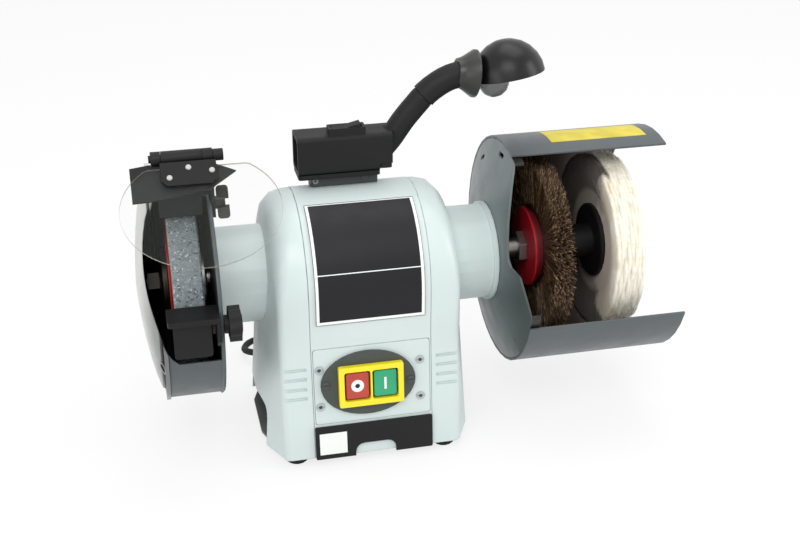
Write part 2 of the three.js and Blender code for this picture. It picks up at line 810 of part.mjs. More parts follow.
// Switch panel with its oval plate, yellow frame, two buttons and the switch block behind it.
function makeSwitches() {
  const buttons = [frameShift - buttonPitch / 2, frameShift + buttonPitch / 2];
  const hole = (x, play) => roundedBox(
    x - buttonWidth / 2 - play, x + buttonWidth / 2 + play,
    switchRise - buttonHeight / 2 - play, switchRise + buttonHeight / 2 + play, buttonRadius + play, 2,
  );
  const holes = buttons.map((x) => hole(x, gap).reverse());
  const wideHoles = buttons.map((x) => hole(x, buttonPlay).reverse());
  const panel = onFace(roundedBox(-panelHalf, panelHalf, panelLow, panelHigh, 2, 2), -panelThickness, 0, holes);
  const panelSpots = [-1, 1].flatMap(
    (a) => [-1, 1].map((b) => [panelScrewShift + a * panelScrewX, b * panelScrewZ]),
  );
  part('front_panel', join(panel, faceScrews(panelSpots, 0)), 'casting');

  const plateOut = gap + plateThickness;
  const oval = Array.from({ length: fine }, (_, i) => {
    const a = (2 * Math.PI * i) / fine;
    return [plateShift + (plateWidth / 2) * Math.cos(a), switchRise + (plateHeight / 2) * Math.sin(a)];
  });
  const clearOfScrews = panelSpots.map(
    ([x, z]) => onFace(disc(x, z, screwHeadRadius + gap, small), 0, 2 * plateOut),
  );
  const plate = cut(onFace(oval, gap, plateOut, holes), ...clearOfScrews);
  const plateSpots = [-1, 1].map((a) => [plateShift + a * plateScrewX, switchRise - a * plateScrewZ]);
  part('switch_plate', join(plate, faceScrews(plateSpots, plateOut)), 'black');

  const frameOut = plateOut + gap + frameThickness;
  const frame = roundedBox(
    frameShift - frameWidth / 2, frameShift + frameWidth / 2,
    switchRise - frameHeight / 2, switchRise + frameHeight / 2, frameRadius, 2,
  );
  part('switch_frame', onFace(frame, plateOut + gap, frameOut, wideHoles), 'yellow');

  const back = -panelThickness - gap;
  const seat = back - buttonTravel - gap;
  const markBase = frameOut - buttonSink;
  const cap = (x, mark) => join(onFace(hole(x, 0), back + gap, markBase), mark);
  const ring = onFace(
    disc(buttons[0], switchRise, markRadius, coarse), markBase - gap, markBase + markHeight,
    [disc(buttons[0], switchRise, markRadius - ringWidth, coarse).reverse()],
  );
  const bar = onFace(
    roundedBox(
      buttons[1] - barWidth / 2, buttons[1] + barWidth / 2,
      switchRise - markRadius, switchRise + markRadius, barWidth / 3, 1,
    ),
    markBase - gap, markBase + markHeight,
  );
  part('stop_button', cap(buttons[0], ring), 'red');
  part('start_button', cap(buttons[1], bar), 'green');
  const block = onFace(
    roundedBox(
      frameShift - blockWidth / 2, frameShift + blockWidth / 2,
      switchRise - blockHeight / 2, switchRise + blockHeight / 2, 1, 1,
    ),
    back - blockDepth, back,
  );
  const pockets = buttons.map((x) => onFace(hole(x, gap), seat, cutPast));
  part('switch_block', cut(block, ...pockets), 'black');
}

// Stator, rotor, capacitor and bearings: inside the body, never seen from outside.
function makeMotor() {
  const outer = crownRadius - bellWall - gap;
  const bore = rotorRadius + airGap;
  const stator = [
    [bore, -rotorHalf], [windingInner, -rotorHalf], [windingInner + windingRound, -windingReach],
    [windingOuter - windingRound, -windingReach], [windingOuter, -rotorHalf], [outer, -rotorHalf],
    [outer, rotorHalf], [windingOuter, rotorHalf], [windingOuter - windingRound, windingReach],
    [windingInner + windingRound, windingReach], [windingInner, rotorHalf], [bore, rotorHalf],
    [bore, -rotorHalf],
  ];
  part('stator', turnedX(stator, statorFacets), 'copper');
  const shaftHole = rotorShaftRadius + gap;
  const rotor = [
    [shaftHole, -rotorHalf], [rotorRingInner, -rotorHalf], [rotorRingInner, -rotorRingReach],
    [rotorRadius, -rotorRingReach], [rotorRadius, rotorRingReach], [rotorRingInner, rotorRingReach],
    [rotorRingInner, rotorHalf], [shaftHole, rotorHalf], [shaftHole, -rotorHalf],
  ];
  part('rotor', turnedX(rotor, round), 'steel');
  for (const [name, sign] of [['bearing_left', -1], ['bearing_right', 1]]) {
    const [near, far] = [bearingStart + gap, bearingStart + bearingWidth];
    const ring = [
      [shaftRadius, near], [bearingRadius, near], [bearingRadius, far], [shaftRadius, far], [shaftRadius, near],
    ].map(([r, x]) => [r, sign * x]);
    part(name, turnedX(ring, journal), 'steel');
  }
  const rest = bodyBottom + capacitorRadius;
  part('capacitor', rodX(capacitorRadius, -capacitorHalf, capacitorHalf, capacitorY, rest, coarse), 'cover');
}

// Rounded window in the front of the left guard, seen from the front as a slot in x and z.
function guardWindow() {
  const curve = new THREE.SplineCurve(windowEdge.map(([x, z]) => new THREE.Vector2(x, axisHeight + z)));
  const edge = curve.getPoints(windowSteps).map((point) => point.toArray());
  const [, top] = edge[0];
  const [, bottom] = edge[windowSteps];
  return slabY([...edge, [-windowRight, bottom], [-windowRight, top]], -2 * guardRimRadius, -windowDepth);
}

function makeLeftGuard() {
  const right = -neckEndLeft - gap;
  const left = right - guardPlateThickness;
  const round1 = guardRimRound;
  const plate = turnedX([
    [guardHole, right], [guardRimRadius - round1, right], [guardRimRadius, right - round1],
    [guardRimRadius - round1 / 2, left], [guardHole, left], [guardHole, right],
  ], fine);
  const bandEnd = -coverRim + gap;
  const band = turnedX([
    [guardRadius - guardWall, left + cutPast], [guardRadius, left + cutPast], [guardRadius, bandEnd],
    [guardRadius - guardWall, bandEnd], [guardRadius - guardWall, left + cutPast],
  ], fine);
  const boltHole = rodX(studRadius + gap, left - cutPast, right + cutPast, -boltY, boltZ);
  const studEnd = right + gap + armThickness + studReach;
  const stud = rodX(studRadius, left + cutPast, studEnd, studY, axisHeight + studZ);
  part('guard_left', join(cut(join(plate, cut(band, guardWindow())), boltHole), stud), 'guard');
}

// Point of the cover's outside, [radius, distance along the axis], at an angle up from its rim.
function coverPoint(angle, inset) {
  const share = (value) => Math.max(0, value) ** (2 / coverPower);
  return [
    (guardRadius - inset) * share(Math.cos(rad(angle))),
    -coverRim - (coverBulge - inset) * share(Math.sin(rad(angle))),
  ];
}

function makeGuardCover() {
  const lip = guardRadius + coverLip;
  const bends = Array.from({ length: coverSteps + 1 }, (_, i) => (90 * i) / coverSteps);
  const outside = bends.map((angle) => coverPoint(angle, 0)).filter(([, x]) => x < -coverRim - coverLipWidth);
  const inside = bends.map((angle) => coverPoint(angle, coverWall)).reverse();
  const dish = turnedX([
    [lip, -coverRim], [lip, -coverRim - coverLipWidth], [outside[0][0] + coverLip, -coverRim - coverLipWidth],
    ...outside.slice(0, -1), [0, -coverRim - coverBulge], [0, inside[0][1]], ...inside.slice(1),
    [lip, -coverRim],
  ], fine);
  const a = rad(coverScrewAngle);
  const [ring, level] = coverPoint(coverScrewSite, 0);
  const seat = [level, -ring * Math.cos(a), axisHeight + ring * Math.sin(a)];
  const slope = (share, size) => share ** (coverPower - 1) / size;
  const away = slope(ring / guardRadius, guardRadius);
  const left = slope((-level - coverRim) / coverBulge, coverBulge);
  const out = new THREE.Vector3(-left, -away * Math.cos(a), away * Math.sin(a)).normalize().toArray();
  const from = (distance) => seat.map((value, i) => value + out[i] * distance);
  const boss = rod(coverBossRadius, from(-coverScrewRecess - coverWall), out, coverScrewRecess + coverWall, coarse);
  const pocket = rod(coverScrewRadius, from(-coverScrewRecess), out, 2 * coverScrewRecess, small);
  const head = cut(
    rod(coverScrewRadius - 2 * gap, from(-coverScrewRecess - gap), out, coverScrewRecess / 2 + gap, small),
    rod(coverScrewRadius / 2, from(-coverScrewRecess / 2 - gap), out, coverScrewRecess, 6),
  );
  const opened = cut(dish, guardWindow());
  part('guard_cover', join(cut(join(opened, boss), pocket), head), 'cover');
}

// Everything that turns with the shaft on the left side.
function makeWheel() {
  const bore = arborRadius + gap;
  const c = wheelChamfer;
  const [l, r] = [-wheelLeft, -wheelRight];
  const wheel = [
    [bore, l], [wheelRadius - c, l], [wheelRadius, l + c], [wheelRadius, r - c], [wheelRadius - c, r],
    [bore, r], [bore, l],
  ];
  part('grinding_wheel', turnedX(wheel, fine), 'abrasive');
  const blotterLeft = l - gap - blotterThickness;
  const blotter = [
    [bore, blotterLeft], [blotterRadius, blotterLeft], [blotterRadius, l - gap], [bore, l - gap], [bore, blotterLeft],
  ];
  part('wheel_blotter', turnedX(blotter, round), 'red');
  const flangeLeft = blotterLeft - gap - flangeThickness;
  const relief = blotterLeft - gap - flangeRelief;
  const flange = [
    [bore, flangeLeft], [flangeRadius / 2, flangeLeft], [flangeRadius, flangeLeft + flangeRelief],
    [flangeRadius, blotterLeft - gap], [flangeRadius * 0.8, blotterLeft - gap], [flangeRadius * 0.7, relief],
    [bore, relief], [bore, flangeLeft],
  ];
  part('wheel_flange_outer', turnedX(flange, round), 'steel');
  const nutRight = flangeLeft - gap;
  part('wheel_nut', hexNut(wheelNutRadius, bore, nutRight - wheelNutHeight, nutRight), 'steel');
}

function makeShaft() {
  const flangeRight = -wheelRight + gap + flangeThickness;
  const bearing = shaftRadius - runGap;
  const shoulder = bearingStart - gap;
  const profile = [
    [0, -arborEnd], [arborRadius - 1, -arborEnd], [arborRadius, -arborEnd + 1], [arborRadius, -wheelRight + gap],
    [flangeRadius, -wheelRight + gap], [flangeRadius, flangeRight - flangeRelief], [flangeRadius / 2, flangeRight],
    [bearing, flangeRight], [bearing, -shoulder], [rotorShaftRadius, -shoulder],
    [rotorShaftRadius, shoulder], [bearing, shoulder], [bearing, rightNutStart],
    [rightArborRadius, rightNutStart], [rightArborRadius, rightArborEnd - 1],
    [rightArborRadius - 1, rightArborEnd], [0, rightArborEnd],
  ];
  const collar = turnedX([
    [rightArborRadius / 2, rightNutStart], [rightNutRadius, rightNutStart],
    [rightNutRadius, brushLeft - brushFlangeThickness - gap],
    [rightArborRadius / 2, brushLeft - brushFlangeThickness - gap],
    [rightArborRadius / 2, rightNutStart],
  ], 6);
  part('shaft', join(turnedX(profile, round), collar), 'steel');
}

// Tool rest with its clamping bolt and lobed knob.
function makeToolRest() {
  const plateLeft = -neckEndLeft - gap - guardPlateThickness;
  const wingRight = plateLeft - gap;
  const wingLeft = wingRight - wingThickness;
  const table = slabZ(
    roundedBox(-restLeft, wingRight, -restFront, -restBack, 2, 2), restTop - restThickness, restTop,
  );
  const apron = slabY(
    roundedBox(-apronLeft, -apronRight, axisHeight - apronDrop, restTop - gap, restThickness / 2, 2),
    -apronFront, -apronFront + apronThickness,
  );
  const wing = slabX([
    [-restFront, wingBottom + wingCorner], [-restFront + wingCorner, wingBottom],
    [-wingBack - wingRearCorner, wingBottom], [-wingBack, wingBottom + wingRearCorner],
    [-wingBack, restTop - restThickness], [-restBack - gap, restTop - gap], [-restFront + gap, restTop - gap],
  ], wingLeft, wingRight);
  const reach = studRadius + gap;
  const slot = roundedBox(
    -boltY - restIn - reach, -boltY + restOut + reach, boltZ - reach, boltZ + reach, 0.99 * reach, 3,
  );
  const opened = slabX(slot, wingLeft - cutPast, wingRight + cutPast);
  part('tool_rest', cut(join(table, apron, wing), opened), 'guard');

  const headRight = wingLeft - gap;
  const knobLeft = -neckEndLeft;
  const shankEnd = knobLeft + knobHubHeight + knobThickness / 2;
  part('rest_bolt', join(
    rodX(boltHeadRadius, headRight - boltHeadThickness, headRight, -boltY, boltZ, coarse),
    rodX(studRadius, headRight - 1, shankEnd, -boltY, boltZ),
  ), 'steel');

  const face = knobLeft + knobHubHeight;
  const lobes = Array.from({ length: knobLobes * 6 }, (_, i) => {
    const a = (2 * Math.PI * i) / (knobLobes * 6);
    const r = knobRadius - knobLobe * (0.5 - 0.5 * Math.cos(knobLobes * a)) ** 2;
    return [-boltY + r * Math.cos(a), boltZ + r * Math.sin(a)];
  });
  const knob = join(
    slabX(lobes, face, face + knobThickness),
    rodX(knobHub, knobLeft, face + 1, -boltY, boltZ, coarse),
    rodX(knobHub, face + knobThickness - 1, face + knobThickness + 1, -boltY, boltZ, coarse),
  );
  const bore = rodX(studRadius + gap, knobLeft - 1, shankEnd + gap, -boltY, boltZ);
  part('rest_knob', cut(knob, bore), 'black');
}

// Eye shield: bracket on the guard, hinge pin, holder, clamp strip and clear plate.
const slopeFrame = basis(
  [1, 0, 0],
  [0, -Math.cos(rad(shieldSlope)), -Math.sin(rad(shieldSlope))],
  [0, Math.sin(rad(shieldSlope)), -Math.cos(rad(shieldSlope))],
  [0, pinY, pinZ],
);
// A plate in the shield's plane: points are [x, distance down the slope], heights are toward the eye.
function onSlope(points, low, high, holes) {
  const flat = extruded(points, high - low, holes);
  flat.translate(0, 0, -high);
  return solid(moved(flat, slopeFrame));
}

function makeShieldBracket() {
  const armLeft = -neckEndLeft;
  const armRight = armLeft + armThickness;
  const half = armWidth / 2;
  const foot = axisHeight + studZ;
  const arm = slabX([
    [studY - half, foot - half], [studY + half, foot - half], [studY + half, foot + half],
    [crossFront + crossThickness, deflectorTop], [pinY + barrelRadius - 1, pinZ],
    [pinY - pinRadius / 2, pinZ], [crossFront - crossThickness, crossBottom],
  ], armLeft, armRight);
  const crossLeft = -pinLeft + crossInset;
  const cross = box(crossLeft, armRight, crossFront, crossFront + crossThickness, crossBottom, pinZ - 1);
  const room = box(
    -barrelLeft - gap, -barrelRight + gap, pinY - barrelRadius - gap, pinY + barrelRadius + gap,
    pinZ - barrelRadius - gap, pinZ + barrelRadius + gap,
  );
  const knuckles = [[crossLeft, -barrelLeft - gap], [-barrelRight + gap, armRight]]
    .map(([x0, x1]) => rodX(barrelRadius, x0, x1, pinY, pinZ, coarse));
  const bores = [
    rodX(pinRadius + gap, -pinLeft - 1, -pinRight, pinY, pinZ),
    rodX(studRadius + gap, armLeft - 1, armRight + 1, studY, foot),
  ];
  const middle = (-deflectorLeft - deflectorRight) / 2;
  const pegLength = crossThickness + deflectorThickness + 2 * gap + 2 * rivetHeight;
  const pegs = [-1, 1].map((s) => rod(
    studRadius - 1, [middle + s * deflectorSlotX, crossFront - rivetHeight, pegHeight], [0, 1, 0], pegLength,
  ));
  const bracket = cut(join(cut(join(arm, cross), room), ...knuckles), ...bores);
  part('shield_bracket', join(bracket, ...pegs), 'black');
  part('shield_pin', join(
    rodX(pinRadius, -pinLeft, -pinRight, pinY, pinZ),
    rodX(pinHead, armRight + gap, armRight + gap + pinHeadLength, pinY, pinZ, coarse),
  ), 'black');
}

// Spark deflector: a plate behind the bracket's cross piece, slotted so that it can be let down.
function makeDeflector() {
  const y0 = crossFront + crossThickness + gap;
  const reach = studRadius - 1 + gap;
  const middle = (-deflectorLeft - deflectorRight) / 2;
  const slots = [-1, 1].map((s) => roundedBox(
    middle + s * deflectorSlotX - reach, middle + s * deflectorSlotX + reach,
    pegHeight - reach, pegHeight + deflectorTravel + reach, reach - 0.01, 2,
  ).reverse());
  const sheet = roundedBox(-deflectorLeft, -deflectorRight, deflectorBottom, deflectorTop, 2, 2);
  part('spark_deflector', slabY(sheet, y0, y0 + deflectorThickness, slots), 'steel');
}

function makeWingNut() {
  const left = -neckEndLeft + armThickness + gap;
  const z = axisHeight + studZ;
  const hub = turnedX([
    [0, left], [wingNutHub, left], [wingNutHub - 1, left + wingNutLength], [0, left + wingNutLength],
  ], coarse, z, studY);
  const wings = roundedBox(-wingNutSpan, wingNutSpan, left + 1.5, left + wingNutLength + 3, 2.5, 3);
  const blade = solid(moved(
    extruded(wings, wingNutThickness),
    basis([0, 0.5, 0.866], [1, 0, 0], [0, 0.866, -0.5],
      [0, studY - 0.433 * wingNutThickness, z + 0.25 * wingNutThickness]),
  ));
  const trim = rodX(wingNutHub - 2, left + wingNutLength, left + wingNutLength + 4, studY, z);
  const bore = rodX(studRadius + gap, left - 1, left + studReach, studY, z);
  part('wing_nut', cut(join(hub, blade), bore, trim), 'steel');
}

function makeEyeShield() {
  const centre = (-shieldLeft - shieldRight) / 2;
  const half = (shieldLeft - shieldRight) / 2;
  const oval = disc(centre, shieldMiddle, 1, round).map(([x, d]) => [
    centre + (x - centre) * half, Math.max(shieldTop, shieldMiddle + (d - shieldMiddle) * shieldHalfHeight),
  ]).filter(([x, d], i, all) => {
    const [, before] = all[(i + all.length - 1) % all.length];
    const [, after] = all[(i + 1) % all.length];
    return !(d === shieldTop && before === shieldTop && after === shieldTop);
  });
  part('eye_shield', onSlope(oval, 0, shieldThickness), 'clear');

  const under = -gap - holderThickness;
  const back = onSlope(holderOutline, under, -gap);
  const barrel = rodX(barrelRadius, -barrelLeft, -barrelRight, pinY, pinZ, coarse);
  const web = onSlope(
    [[-barrelLeft, 0], [-barrelRight, 0], [-barrelRight, shieldTop], [-barrelLeft, shieldTop]], under, -gap,
  );
  const bore = rodX(pinRadius + gap, -barrelLeft - 1, -barrelRight + 1, pinY, pinZ);
  const sweepLeft = -pinLeft + crossInset - gap;
  const sweepRight = -neckEndLeft + armThickness + gap;
  const swing = [[sweepLeft, -barrelLeft], [-barrelRight, sweepRight]]
    .map(([x0, x1]) => rodX(barrelRadius + 2 * gap, x0, x1, pinY, pinZ, coarse));
  part('shield_holder', cut(join(cut(back, ...swing), web, barrel), bore), 'black');

  const high = shieldThickness + gap;
  const strip = onSlope([
    [-clampLeft, barrelRadius + gap], [-clampRight, barrelRadius + gap], [-clampRight, clampBottom - 4],
    [-clampRight - 4, clampBottom], [-clampLeft + 4, clampBottom], [-clampLeft, clampBottom - 4],
  ], high, high + clampThickness);
  const rivets = rivetSpots.map(([x, d]) => onSlope(
    disc(x, d, rivetRadius, small), high + clampThickness - gap, high + clampThickness + rivetHeight,
  ));
  part('shield_clamp', join(strip, ...rivets), 'black');
}

// Tube along a chain of [x, z] points in the lamp's middle plane.
function neckTube(points, radius, steps) {
  const curve = new THREE.CatmullRomCurve3(points.map(([x, z]) => new THREE.Vector3(x, lampDepth, z)));
  return sweep(curve, radius, steps, 14);
}

function makeLampBase() {
  const [y0, y1] = [lampDepth - lampHalfDepth, lampDepth + lampHalfDepth];
  const shell = slabX(roundedBox(y0, y1, lampBottom, lampTop, lampEdge, 3), lampLeft, lampRight);
  const recess = slabX(roundedBox(
    y0 + lampRecessWall, y1 - lampRecessWall, lampBottom + lampRecessWall, lampTop - lampRecessWall, 2, 2,
  ), lampLeft - cutPast, lampLeft + lampRecess);
  const notch = box(
    lampRight - lampNotch, lampRight + cutPast, y0 - cutPast, y1 + cutPast,
    lampBottom - cutPast, lampBottom + lampNotchHeight,
  );
  const frame = slabZ(roundedBox(
    rockerLeft, rockerRight, lampDepth + rockerShift - rockerHalf, lampDepth + rockerShift + rockerHalf, 1.5, 2,
  ), lampTop - 1, lampTop + rockerFrame);
  const well = slabZ(roundedBox(
    rockerLeft + rockerWall, rockerRight - rockerWall, lampDepth + rockerShift - rockerHalf + rockerWall / 2,
    lampDepth + rockerShift + rockerHalf - rockerWall / 2, gap, 1,
  ), lampTop - 3, lampTop + rockerFrame + 1);
  const socket = join(
    neckTube([neckStart, ...neckLowBend, [neckJointX, neckJointZ]], neckLowRadius + gap, 14),
    ball(neckLowRadius + gap, neckStart[0], lampDepth, neckStart[1], small),
  );
  part('lamp_base', cut(join(cut(shell, recess, notch), frame), well, socket), 'black');

  const footBottom = axisHeight + Math.sqrt(crownRadius ** 2 - (lampDepth + footHalf) ** 2) - 1;
  const column = slabZ(
    roundedBox(footLeft, footRight, lampDepth - footHalf, lampDepth + footHalf, 2.5, 2), footBottom, lampBottom - gap,
  );
  const crown = rodX(crownRadius + gap, footLeft - 1, footRight + 1, 0, axisHeight, 64);
  const screw = rod(footScrewRadius, [footRight / 2, lampDepth - footHalf + 1, lampBottom - 6], [0, -1, 0], 2);
  part('lamp_foot', join(cut(column, crown), screw), 'black');

  const middle = (rockerLeft + rockerRight) / 2;
  const reach = (rockerRight - rockerLeft) / 2 - rockerWall - 3 * gap;
  const depth = rockerHalf - rockerWall / 2 - gap;
  const key = [
    [-reach, -rockerSide], [0, -rockerFrame / 2], [reach, -rockerSide],
    [reach, rockerRise], [0, rockerRise - rockerDip], [-reach, rockerRise],
  ];
  const tipped = key.map(([x, z]) => {
    const t = rad(rockerTilt);
    return [
      middle + x * Math.cos(t) - z * Math.sin(t),
      lampTop + rockerFrame / 2 + x * Math.sin(t) + z * Math.cos(t),
    ];
  });
  const y = lampDepth + rockerShift;
  part('lamp_rocker', slabY(tipped, y - depth, y + depth), 'rubber');
}

function makeGooseneck() {
  const joint = [neckJointX, neckJointZ];
  const low = neckTube([neckStart, ...neckLowBend, joint], neckLowRadius, 9);
  const knuckle = ball(neckLowRadius, neckJointX, lampDepth, neckJointZ, 18);
  part('gooseneck_lower', join(low, knuckle), 'black');
  const high = neckTube([joint, ...neckHighBend, neckTop], neckHighRadius, 7);
  const [nx, nz] = [neckHighBend[0][0] - neckJointX, neckHighBend[0][1] - neckJointZ];
  const behind = 2 * neckHighRadius / Math.hypot(nx, nz);
  const back = rod(
    2 * neckHighRadius, [neckJointX - nx * behind, lampDepth, neckJointZ - nz * behind], [nx, 0, nz],
    2 * neckHighRadius + neckRimBack,
  );
  const cup = ball(neckLowRadius + 2 * gap, neckJointX, lampDepth, neckJointZ, 18);
  part('gooseneck_upper', cut(high, back, cup), 'black');
}

// Cup: a funnel from the neck, open toward the dome, with a boss in its middle that carries it.
function makeLampHead() {
  const centre = [domeX, lampDepth, domeZ];
  const inner = domeRadius + gap;
  const [tx, tz] = neckTop;
  const toward = [domeX - tx, 0, domeZ - tz];
  const span = Math.hypot(toward[0], toward[2]) - inner;
  const mouth = span + cupReach;
  const root = 0.45 * span;
  const sleeve = neckHighRadius + cupSleeveWall;
  const axis = along([tx, lampDepth, tz], toward);
  const funnel = turned([
    [0, -cupSleeve], [sleeve - cupSleeveWall / 2, -cupSleeve], [sleeve, -cupSleeve / 2], [cupThroat, 0],
    [cupMouth, mouth - cupMouthEdge], [cupMouth, mouth], [0, mouth],
  ], round, axis);
  const hollow = turned([
    [cupBoss, root], [cupThroat, root], [cupMouth - cupWall, mouth - cupMouthEdge],
    [cupMouth - cupWall, mouth + cutPast], [cupBoss, mouth + cutPast], [cupBoss, root],
  ], round, axis);
  const [lastX, lastZ] = neckHighBend[neckHighBend.length - 1];
  const end = new THREE.Vector2(tx - lastX, tz - lastZ).normalize();
  const neck = join(
    neckTube([...neckHighBend, neckTop], neckHighRadius + gap, 5),
    rod(neckHighRadius + gap, [tx - end.x, lampDepth, tz - end.y], [end.x, 0, end.y], 1 + gap, coarse),
  );
  part('lamp_cup', cut(funnel, hollow, ball(inner, ...centre, 2 * coarse), neck), 'black');

  const tilt = new THREE.Matrix4().makeRotationY(-rad(domeRoll))
    .multiply(new THREE.Matrix4().makeRotationX(-rad(domePitch)));
  const place = new THREE.Matrix4().makeTranslation(...centre).multiply(tilt);
  const quarter = (r) => Array.from({ length: domeSteps + 1 }, (_, i) => {
    const a = rad((90 * i) / domeSteps);
    return [r * Math.cos(a), r * Math.sin(a)];
  });
  const dome = [...quarter(domeRadius), ...quarter(domeRadius - domeWall).reverse(), [domeRadius, 0]];
  const upright = basis([1, 0, 0], [0, 0, 1], [0, -1, 0]);
  part('lamp_shade', turned(dome, round, place.clone().multiply(upright)), 'black');

  const up = [Math.sin(rad(socketTilt)), 0, Math.cos(rad(socketTilt))];
  const bulbAt = (d) => [bulbX + up[0] * d, lampDepth, bulbZ + up[2] * d];
  const socketLow = bulbRadius + socketGap;
  const holder = overlap(
    rod(socketRadius, bulbAt(socketLow), up, domeRadius, coarse),
    ball(domeRadius - domeWall - 2 * gap, ...centre, round),
  );
  const bore = rod(bulbNeck + gap, bulbAt(socketLow - cutPast), up, socketBore, coarse);
  part('lamp_socket', cut(holder, bore), 'black');
  const glass = Array.from({ length: bulbSteps + 1 }, (_, i) => {
    const a = rad(-90 + (150 * i) / bulbSteps);
    return [bulbRadius * Math.cos(a), bulbRadius * Math.sin(a)];
  });
  glass[0][0] = 0;
  const profile = [
    ...glass, [bulbNeck, bulbRadius + bulbCollar], [bulbNeck, bulbRadius + bulbStem], [0, bulbRadius + bulbStem],
  ];
  part('bulb', turned(profile, coarse, along([bulbX, lampDepth, bulbZ], up)), 'clear');
}

// Drum guard: dished end plate with a cut-away front, rolled shell open toward the operator.
function makeDrum() {
  const t = drumWall;
  const inside = drumRadius - drumWall - gap;
  const face = neckEndRight + gap;
  const plate = turnedX([
    [shaftRadius + 4, face], [drumFlat, face], [inside, drumLeft], [inside, drumLeft + drumFlange],
    [inside - t, drumLeft + drumFlange], [inside - t, drumLeft + t / 2], [drumFlat - t / 2, face + t],
    [shaftRadius + 4, face + t], [shaftRadius + 4, face],
  ], fine);
  const far = 2 * drumRadius;
  const edge = drumEdge.map(([y, z]) => [y, axisHeight + z]);
  const [, topZ] = edge[0];
  const [, lowZ] = edge[edge.length - 1];
  const cutter = slabX([
    [-far, topZ + far / 4], [edge[0][0] + 4, topZ + far / 4], ...edge, [-far, lowZ - 4],
  ], neckEndRight - 1, drumLeft + 2 * drumFlange);
  const slots = drumSlots.map(([y, z, turn]) => {
    const shape = roundedBox(
      -drumSlotLength / 2, drumSlotLength / 2, -drumSlotWidth / 2, drumSlotWidth / 2, drumSlotWidth / 2 - 0.01, 2,
    ).map(([u, v]) => [
      y + u * Math.cos(rad(turn)) - v * Math.sin(rad(turn)),
      axisHeight + z - u * Math.sin(rad(turn)) - v * Math.cos(rad(turn)),
    ]);
    return slabX(shape, neckEndRight, drumLeft + drumFlange / 2);
  });
  part('drum_end_plate', cut(plate, cutter, ...slots), 'drum');

  const arc = (r) => arcYZ(r, drumTopAngle, 360 + drumLowAngle, 30);
  const sheet = slabX([...arc(drumRadius), ...arc(drumRadius - drumWall).reverse()], drumLeft, drumRight);
  part('drum_shell', sheet, 'drum');
}

// Wire brush, spacer sleeve, buff and their flanges on the right arbor.
function makeBrush() {
  const bore = rightArborRadius + gap;
  const t = brushFlangeThickness;
  const hub = turnedX([
    [bore, brushLeft - t], [brushFlange - 1, brushLeft - t], [brushFlange, brushLeft - t + 1],
    [brushFlange, brushLeft], [brushHub, brushLeft], [brushHub, brushRight], [brushFlange, brushRight],
    [brushFlange, brushRight + t - 1], [brushFlange - 1, brushRight + t], [bore, brushRight + t],
    [bore, brushLeft - t],
  ], round);
  part('brush_hub', hub, 'red');
  ['bristles_upper', 'bristles_lower'].forEach((name, half) => {
    const from = halfTurn * half;
    const ringArc = (r) => arcYZ(r, from + bristleSplit, from + halfTurn - bristleSplit, coarse);
    const snug = (brushHub + gap) / Math.cos(Math.PI / (2 * coarse));
    const backing = slabX(
      [...ringArc(brushFlange - gap), ...ringArc(snug).reverse()], brushLeft + gap, brushRight - gap,
    );
    const strands = [];
    for (let row = 0; row < bristleRows; row += 1) {
      for (let i = 0; i < bristlesPerRow; i += 1) {
        const angle = from + (halfTurn * (i + (row % 2 ? 0.75 : 0.25))) / bristlesPerRow;
        const x = lerp(brushLeft, brushRight, (row + 0.5) / bristleRows);
        const sway = ((i * 7 + row * 3) % 11) / 11 - 0.5;
        const nod = ((i * 5 + row * 4) % 7) / 7 - 0.5;
        strands.push(strand(x, angle, sway, nod));
      }
    }
    part(name, join(backing, ...strands), 'wire');
  });
}

// One wire: a thin three-sided spike from inside the backing out to the rim.
function strand(x, angle, sway, nod) {
  const length = brushRadius - bristleRoot - Math.abs(nod) * bristleJitter;
  const cone = new THREE.ConeGeometry(bristleThickness, length, 3, 1);
  const a = rad(angle);
  const out = new THREE.Vector3(0, -Math.cos(a), Math.sin(a));
  const side = new THREE.Vector3(0, Math.sin(a), Math.cos(a));
  const tip = out.clone().multiplyScalar(bristleRoot + length)
    .addScaledVector(side, sway * bristleJitter).add(new THREE.Vector3(x + nod * bristleLean, 0, axisHeight));
  const root = out.clone().multiplyScalar(bristleRoot).add(new THREE.Vector3(x, 0, axisHeight));
  const way = tip.clone().sub(root);
  cone.translate(0, length / 2, 0);
  return solid(moved(cone, along(root.toArray(), way.toArray())));
}

